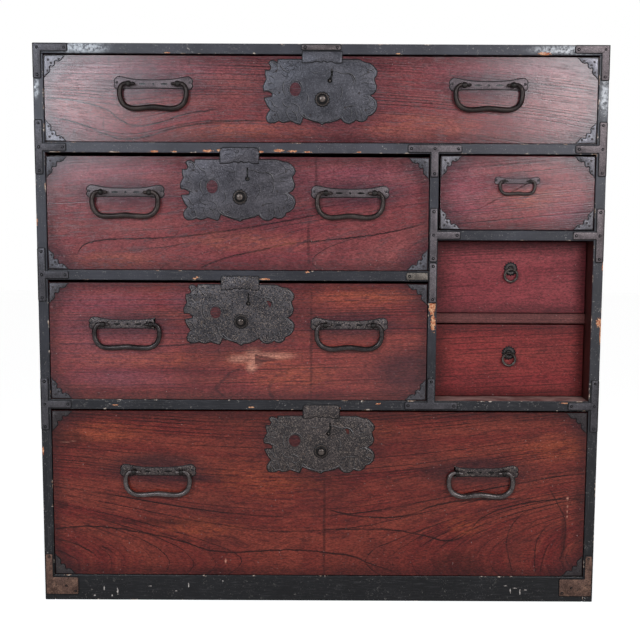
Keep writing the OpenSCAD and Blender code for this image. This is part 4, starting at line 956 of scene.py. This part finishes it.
# Up is the tongue's top, eye the round hole and moon an engraved arc; iron is what lock_iron needs
locks = {
    "top": dict(x=2, z=812.5, size=(1.02, 1), up=886.5, key=hook_key, eye=(-42.2, 15.2, 8.8, 11),
                moon=(36.5, 27, 11.5, 13.5, 95, -25), tongue=(-32, 31), shoulder=1,
                iron=((0.05, 0.048, 0.056), (0.078, 0.074, 0.084), (0.12, 0.085, 0.07), 0.1, 1.1, False)),
    "upper": dict(x=-127.3, z=660, size=(1.04, 0.97), up=738, key=straight_key, eye=(-44, 16, 9, 10.4),
                  moon=(42, 15, 11, 11, 60, -60), tongue=(-31.8, 30.5), shoulder=7,
                  iron=((0.05, 0.045, 0.052), (0.08, 0.072, 0.08), (0.16, 0.1, 0.075), 0.18, 2.1, False)),
    "lower": dict(x=-126.3, z=462.5, size=(1.01, 0.97), up=535.5, key=straight_key, eye=(-40.8, 14, 8.6, 9.4),
                  moon=(42, 24, 9.5, 9.5, 170, -40), window=[(40, 34), (49, 33), (48, 25), (46, 22)],
                  tongue=(-32, 29.3), shoulder=3,
                  iron=((0.04, 0.036, 0.04), (0.07, 0.062, 0.066), (0.18, 0.125, 0.085), 0.3, 3.1, True)),
    "bottom": dict(x=2.8, z=251.6, size=(1.025, 0.95), up=328, key=hook_key, eye=(-43, 17, 9.6, 10),
                   moon=(39.5, 29, 9.4, 9.4, 175, -30), tongue=(-30, 29.8), shoulder=4,
                   window=[(36, 38), (41, 39), (45, 35), (45, 27), (41, 29), (40, 34)],
                   iron=((0.036, 0.03, 0.03), (0.062, 0.05, 0.049), (0.16, 0.1, 0.068), 0.34, 4.1, True)),
}
PLATE_FACE = -0.2154
for label, lock in locks.items():
    node = label + "_lock"
    x, z = lock["x"], lock["z"]
    sx, sz = lock["size"]
    top = 1000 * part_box(label + "_drawer_front")[1][2]
    rng.random()  # one draw a lock, which the handles' own draws follow
    outer, inner = [metres([(px + 0.7 * math.sin(0.13 * pz + 3 * x + z),
                             min(pz + 0.6 * math.sin(0.11 * px + z), (top - 0.8 - inset - z) / sz))
                            for px, pz in rounded(shrunk(LOCK, inset), 2, 2)], x, z, sx, sz) for inset in (0, 1.4)]
    plate = cut_plate(outer, PLATE_FACE, IRON, inner)
    ex, ez, erx, erz = lock["eye"]
    holes = [ellipse(ex, ez, erx, erz), rounded(lock["key"], 0.8, 2), ellipse(11.8, 28.8, 3.9, 3.9, 16)]
    if "window" in lock:
        holes.append(rounded(lock["window"], 1.4, 2))
    for hole in holes:
        pierce(plate, metres(hole, x, z), PLATE_FACE)
    pin = turned([(0.0013, 0), (0.0013, 0.001), (0.0008, 0.0014)], (x + 11.8) / 1000, FACE - 0.0001,
                 (z + 28.8) / 1000, 12)
    metal = lock_iron(node + "_iron", *lock["iron"])
    heads = [dome(nx, PLATE_FACE + PROUD, nz, 0.002, 0.0006) for nx, nz in metres(LOCK_NAILS, x, z, sx, sz)]
    lines = [metres(line, x, z, sx, sz) for line in ENGRAVED]
    # The second arc is a dark thread over the eye's upper rim: painted shade of the hole's edge
    lines += [metres(arc(*lock["moon"]), x, z), metres(arc(ex, ez, erx + 1.7, erz + 1.9, 215, -10), x, z)]
    # Painted highlights: lighter copies of the engraved lines beside them, and threads along the plate's rim
    painted_glints = [[(px + 0.0009, pz + 0.0008) for px, pz in line] for line in lines]
    rim = metres(rounded(shrunk(LOCK, 2.6), 2, 2), x, z, sx, sz)[2:]
    painted_glints += [[(px, min(pz, (top - 3.4) / 1000)) for px, pz in rim[k:k + 9]] for k in range(0, len(rim) - 9, 13)]
    cuts = [engraved(node + "_engraving", lines, PLATE_FACE, soot_and_shade_iron),
            engraved(node + "_worn_rims", painted_glints, PLATE_FACE, painted_highlight_iron, 0.00055)]
    t0, t1 = lock["tongue"]
    low = top - 11 - z
    tip = [(t1, 0), (0.62 * t1, 0, 0.4), (0.45 * t1, 2.6, 0.6), (0.24 * t1, 1), (0.06 * t1, 3.4, 0.6), (-0.05 * t1, 1),
           (-0.3 * t1, 3, 0.6), (-0.52 * t1, 0.4), (t0, 0)]
    edge = [(t, lock["up"] - z, lock["shoulder"]) for t in (t0, t1)] + [(a, low + b, *own) for a, b, *own in tip]
    tongue = cut_plate(metres(rounded(edge, 1.2), x, z), PLATE_FACE - IRON - PROUD, IRON,
                       metres(rounded(shrunk(edge, 1.2), 1), x, z))
    washer = turned([(0.0124, 0), (0.0124, 0.0007), (0.0108, 0.0015), (0.0086, 0.0017), (0.0074, 0.0012),
                     (0.001, 0.0012)], x / 1000, PLATE_FACE - PROUD, z / 1000, 70, 14, 0.1)
    # A near-black ring about the knob's foot: painted shade
    collar = turned([(0.0084, 0), (0.0084, 0.001), (0.0074, 0.0018), (0.005, 0.0021), (0.001, 0.0021)], x / 1000,
                    PLATE_FACE - 0.0013, z / 1000, 28)
    # The knob's flanks take the near-black iron, painted shade; its face takes the knob iron
    knob = turned([(0.004, 0), (0.0038, 0.0018), (0.0042, 0.0026), (0.005, 0.0032), (0.0054, 0.004), (0.0052, 0.0048),
                   (0.0045, 0.0055), (0.0034, 0.006), (0.0018, 0.0063), (0.0006, 0.0064)], x / 1000,
                  PLATE_FACE - 0.0034, z / 1000 + 0.0004, 28)
    hand_over([settle(plate, metal, node + "_cut_plate", edge_grime_and_shade), settle(join(heads), nail_iron, node + "_nails"),
               *cuts, settle(tongue, metal, node + "_tongue_cut", edge_grime_and_shade),
               settle(pin, knob_iron, node + "_key_pin"),
               settle(washer, washer_iron, node + "_washer_scalloped", edge_grime_and_shade),
               settle(collar, soot_and_shade_iron, node + "_knob_collar"),
               settle(knob, knob_iron, node + "_knob_turned", soot_and_shade_iron, 0.45)], node, label + "_drawer")
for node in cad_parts:
    if node.endswith("_bolt"):
        dress(node, rusty_iron, 0.0004)

# The handles: a forged drop loop with a raised middle, hung on two posts that go
# through a waisted plate with three lobes at each end, and are clenched inside.

BACKPLATE = [(0, 6.8), (-21, 7.2), (-31, 8), (-41, 9.8), (-48, 11.4), (-55.5, 12.2), (-60.2, 8.8), (-62.4, 4.4),
             (-60.6, 1, 0.5), (-62.6, -2.6), (-60, -7.4), (-55.6, -9.6), (-49, -8.4), (-41, -7.4), (-21, -7.2), (0, -7)]
SLOT, DIAMOND = ellipse(0, 0, 5.6, 1.6, 12), ellipse(0, 0, 2.2, 2.2, 4)
POST_EYE = [(3.6, 0), (4.4, 0.8), (4.8, 2.4), (4.8, 4.4), (4.2, 6.2), (2, 6.8)]
POST_OUT = 38.25
# Half of the drop loop, from a post to the middle: across, up and half its thickness
LOOP = [(32, 0, 2.4), (POST_OUT, 0.4, 2.9), (44, 0.4, 3.4), (48.6, -2.6, 3.9), (51.4, -8.5, 4.3), (51.9, -15.5, 4.5),
        (50.3, -24.5, 4.6), (45.8, -31.8, 4.7), (37.8, -36.5, 4.8), (27, -37.9, 4.8), (14, -37, 4.9), (0, -35.8, 5)]
DROOPS = 9  # the point of the loop that hangs lower or higher from one handle to the next


def handle(name, body, mounts, bail, x, y, z, plate_iron, bar_iron, thick=1, droop=0, cut=(-99, 99), size=1,
           plate_size=(1, 1)):
    """One drop handle at (x, z) millimetres, its posts turning at depth y. Cut is what is left of a broken plate."""
    wide, tall = plate_size
    outline = BACKPLATE + placed(reversed(BACKPLATE[1:-1]), side=-1)
    outline = [(min(max(a, cut[0]), cut[1]), b, *own) for a, b, *own in outline]
    outer, inner = [metres(rounded(shrunk(outline, inset), 2, 2), x, z, wide, tall) for inset in (0, 1.3)]
    plate = cut_plate(outer, PLATE_FACE, IRON, inner)
    if size == 1:
        for across, hole in ((-17, SLOT), (17, SLOT), (0, DIAMOND)):
            pierce(plate, metres(hole, x + across, z), PLATE_FACE)
    plate = settle(plate, plate_iron, name + "_backplate_cut", edge_grime_and_shade)
    nails = settle(join([dome((x + wide * a) / 1000, PLATE_FACE + PROUD, (z + tall * 2.2) / 1000, 0.0021, 0.0007)
                         for a in (-57, 57) if cut[0] < a < cut[1]]), nail_iron, name + "_backplate_nails")
    posts = []
    for side in (-1, 1):
        px = x + side * size * POST_OUT
        eye = turned([(size * r / 1000, size * d / 1000) for r, d in POST_EYE], 0, 0, 0, 20)
        eye.rotation_euler = (0, 0, math.pi / 2)
        eye.location = (px / 1000 - size * 0.0034, y / 1000, z / 1000)
        select(eye)
        bpy.ops.object.transform_apply()
        neck = turned([(size * 0.0026, 0.001), (size * 0.0026, 0.0002 - y / 1000 + FACE)], px / 1000, FACE, z / 1000,
                      14)
        posts += [eye, neck]
    posts = settle(join(posts), post_iron, name + "_posts_forged")
    hand_over([plate, nails, posts], mounts, body)
    points = [(a, b - droop * (i == DROOPS), r) for i, (a, b, r) in enumerate(LOOP)]
    points += placed(reversed(points[:-1]), side=-1)
    bar = tube([[((x + size * a) / 1000, y / 1000, (z + size * b) / 1000, size * thick * r * 0.9 / 1000)
                 for a, b, r in points]], 1, 3)
    tips = []
    for side in (-1, 1):
        bpy.ops.mesh.primitive_uv_sphere_add(segments=12, ring_count=8, radius=size * 0.003, scale=(1.3, 1, 0.9),
                                             location=((x + side * size * 31.4) / 1000, y / 1000, z / 1000))
        tips.append(bpy.context.object)
    hand_over([settle(join([bar] + tips), bar_iron, name + "_bar_forged")], bail, bail)


plate_irons = {
    "top": forged("backplate_iron_top", (0.072, 0.055, 0.059), (0.134, 0.104, 0.11), 14),
    "upper": forged("backplate_iron_upper", (0.066, 0.052, 0.054), (0.105, 0.084, 0.086), 15, 0.18),
    "lower": lock_iron("backplate_iron_lower", (0.05, 0.041, 0.042), (0.084, 0.068, 0.069), (0.16, 0.1, 0.07), 0.3, 16,
                       True),
    "bottom": lock_iron("backplate_iron_bottom", (0.043, 0.033, 0.033), (0.07, 0.054, 0.052), (0.15, 0.095, 0.065), 0.3,
                        17, True),
}
bar_irons = {
    "top": forged("bar_iron_top", (0.012, 0.008, 0.008), (0.04, 0.029, 0.025), 18, 0.25, pitting=0.6,
                  polish=0.1),
    "upper": forged("bar_iron_upper", (0.02, 0.014, 0.013), (0.064, 0.047, 0.042), 18.3, 0.25, pitting=0.6,
                    polish=0.1),
    "lower": forged("bar_iron_lower", (0.021, 0.016, 0.016), (0.062, 0.05, 0.048), 18.6, pitting=0.6, polish=0.12),
    # The bottom bars are lighter: rubbed metal, with a painted highlight of the lamps laid into its colour
    "bottom": forged("bar_iron_bottom", (0.062, 0.05, 0.048), (0.158, 0.132, 0.127), 18.9, 0.12,
                     polish=0.12),
}
small_iron = forged("small_bar_iron", (0.022, 0.017, 0.016), (0.06, 0.046, 0.042), 19, polish=0.1)
post_iron = forged("post_iron", (0.013, 0.011, 0.01), (0.03, 0.024, 0.022), 20)
PIVOT = -220.5
BROKEN = {"lower_left": (-99, 44), "bottom_right": (-42, 99)}
for label, spots in HANDLES.items():
    for side, (x, z) in zip(("left", "right"), spots):
        handle(f"{label}_handle_{side}", label + "_drawer", label + "_handle_mounts", f"{label}_bail_{side}", x,
               PIVOT, z, plate_irons[label], bar_irons[label], rng.uniform(0.97, 1.06), rng.uniform(-0.6, 0.6),
               BROKEN.get(f"{label}_{side}", (-99, 99)))
handle("small_handle", "small_drawer", "small_handle_mounts", "small_bail", 310.25, -218.15, 687, plate_irons["top"],
       small_iron, 1.15, size=0.53, plate_size=(0.58, 0.56))

# The ring pulls of the inner drawers: a thin iron ring in a staple that comes
# through a sixteen-petalled rosette of thin plate.

pull_iron = forged("pull_iron", (0.028, 0.023, 0.021), (0.076, 0.063, 0.058), 21, 0.1)
ring_iron = forged("ring_iron", (0.04, 0.031, 0.028), (0.12, 0.098, 0.086), 22, polish=0.1)
RING_X, RING_Y = 0.31025, -0.1788
for label, z in (("inner_upper", 0.546), ("inner_lower", 0.408)):
    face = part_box(label + "_front")[0][1]
    petals = turned([(0.012, 0), (0.012, 0.0004), (0.0111, 0.001), (0.0088, 0.0014), (0.0058, 0.0013), (0.0042, 0.001),
                     (0.0036, 0.0014), (0.001, 0.0016)], RING_X, face, z, 64, 16, 0.17)
    bpy.ops.mesh.primitive_torus_add(location=(RING_X, RING_Y, z), rotation=(0, math.pi / 2, 0), major_radius=0.0024,
                                     minor_radius=0.00085, major_segments=20, minor_segments=8)
    loop = bpy.context.object
    for vertex in loop.data.vertices:
        vertex.co.z *= 0.92
    neck = turned([(0.0013, -0.012), (0.0013, face - RING_Y - 0.0022)], RING_X, face, z, 12)
    hand_over([settle(petals, pull_iron, label + "_rosette_petals", edge_grime_and_shade),
               settle(join([loop, neck]), pull_iron, label + "_staple_bent")], label + "_rosette", label + "_drawer")
    bpy.ops.mesh.primitive_torus_add(location=(RING_X, RING_Y, z - 0.0102), rotation=(math.pi / 2, 0, 0),
                                     major_radius=0.0102, minor_radius=0.0021, major_segments=40, minor_segments=10)
    ring = bpy.context.object
    for vertex in ring.data.vertices:
        spread = math.hypot(vertex.co.x, vertex.co.y)
        vertex.co.z *= 1 + 0.16 * vertex.co.y / spread
    hand_over([settle(ring, ring_iron, label + "_ring_drawn")], label + "_ring", label + "_ring")

# The studio: white floor, two large soft boxes at the upper left and right, and an
# even pale world, with the camera where the photograph was taken.

bpy.ops.mesh.primitive_plane_add(size=12, location=(0, 0, 0))
floor = bpy.context.object
floor.name = "studio_floor"


def rays(s, *kinds):
    """1 for rays of these kinds, such as Camera or Glossy."""
    mask = s.add("LightPath", {}, f"Is {kinds[0]} Ray")
    for kind in kinds[1:]:
        mask = s.math("MAXIMUM", mask, s.add("LightPath", {}, f"Is {kind} Ray"))
    return mask


BACKGROUND = ("Camera", "Glossy", "Transmission")
floor_white, s = new_material("studio_white")
s.finish(Base_Color=(0.55, 0.55, 0.55), Roughness=0.9, Emission_Color=(1, 1, 1),
         Emission_Strength=rays(s, *BACKGROUND) * 0.35 + rays(s, "Camera") * 0.4)
floor.data.materials.append(floor_white)

# The world is white for the camera and behind the chest, and dim on the camera's side of the room
world = bpy.data.worlds.new("studio_world")
bpy.context.scene.world = world
world.use_nodes = True
s = Shades(world.node_tree)
behind = s.ramp(s.parts(s.add("TexCoord", {}, "Generated"))[1], -0.1, 0.5)
white = s.math("MAXIMUM", rays(s, "Camera"), rays(s, *BACKGROUND) * behind)
sky = world.node_tree.nodes["Background"].inputs
s.feed(sky["Color"], (1, 1, 1))
s.feed(sky["Strength"], (0.14 + behind * 0.56) * (1 - white) + white)
for name, side, tint in (("soft_box_left", -1, (0.84, 0.92, 1)), ("soft_box_right", 1, (0.93, 0.96, 1))):
    lamp = bpy.data.lights.new(name, "AREA")
    lamp.shape, lamp.size, lamp.size_y, lamp.energy, lamp.color = "RECTANGLE", 1, 1, 32, tint
    holder = bpy.data.objects.new(name, lamp)
    bpy.context.collection.objects.link(holder)
    holder.location = (1.14 * side, -2.1, 1.32)
    holder.rotation_euler = (Vector((0.1 * side, -0.2, 0.5)) - holder.location).to_track_quat("-Z", "Y").to_euler()

camera_data = bpy.data.cameras.new("camera")
camera_data.lens, camera_data.sensor_width = 59.6, 36
camera = bpy.data.objects.new("camera", camera_data)
bpy.context.collection.objects.link(camera)
camera.matrix_world = (Matrix.Translation((0, -1.9, 0.649)) @ Matrix.Rotation(math.radians(90 - 6.22), 4, "X")
                       @ Matrix.Rotation(math.radians(0.26), 4, "Z"))
bpy.context.scene.camera = camera
bpy.context.scene.view_settings.view_transform = "Standard"
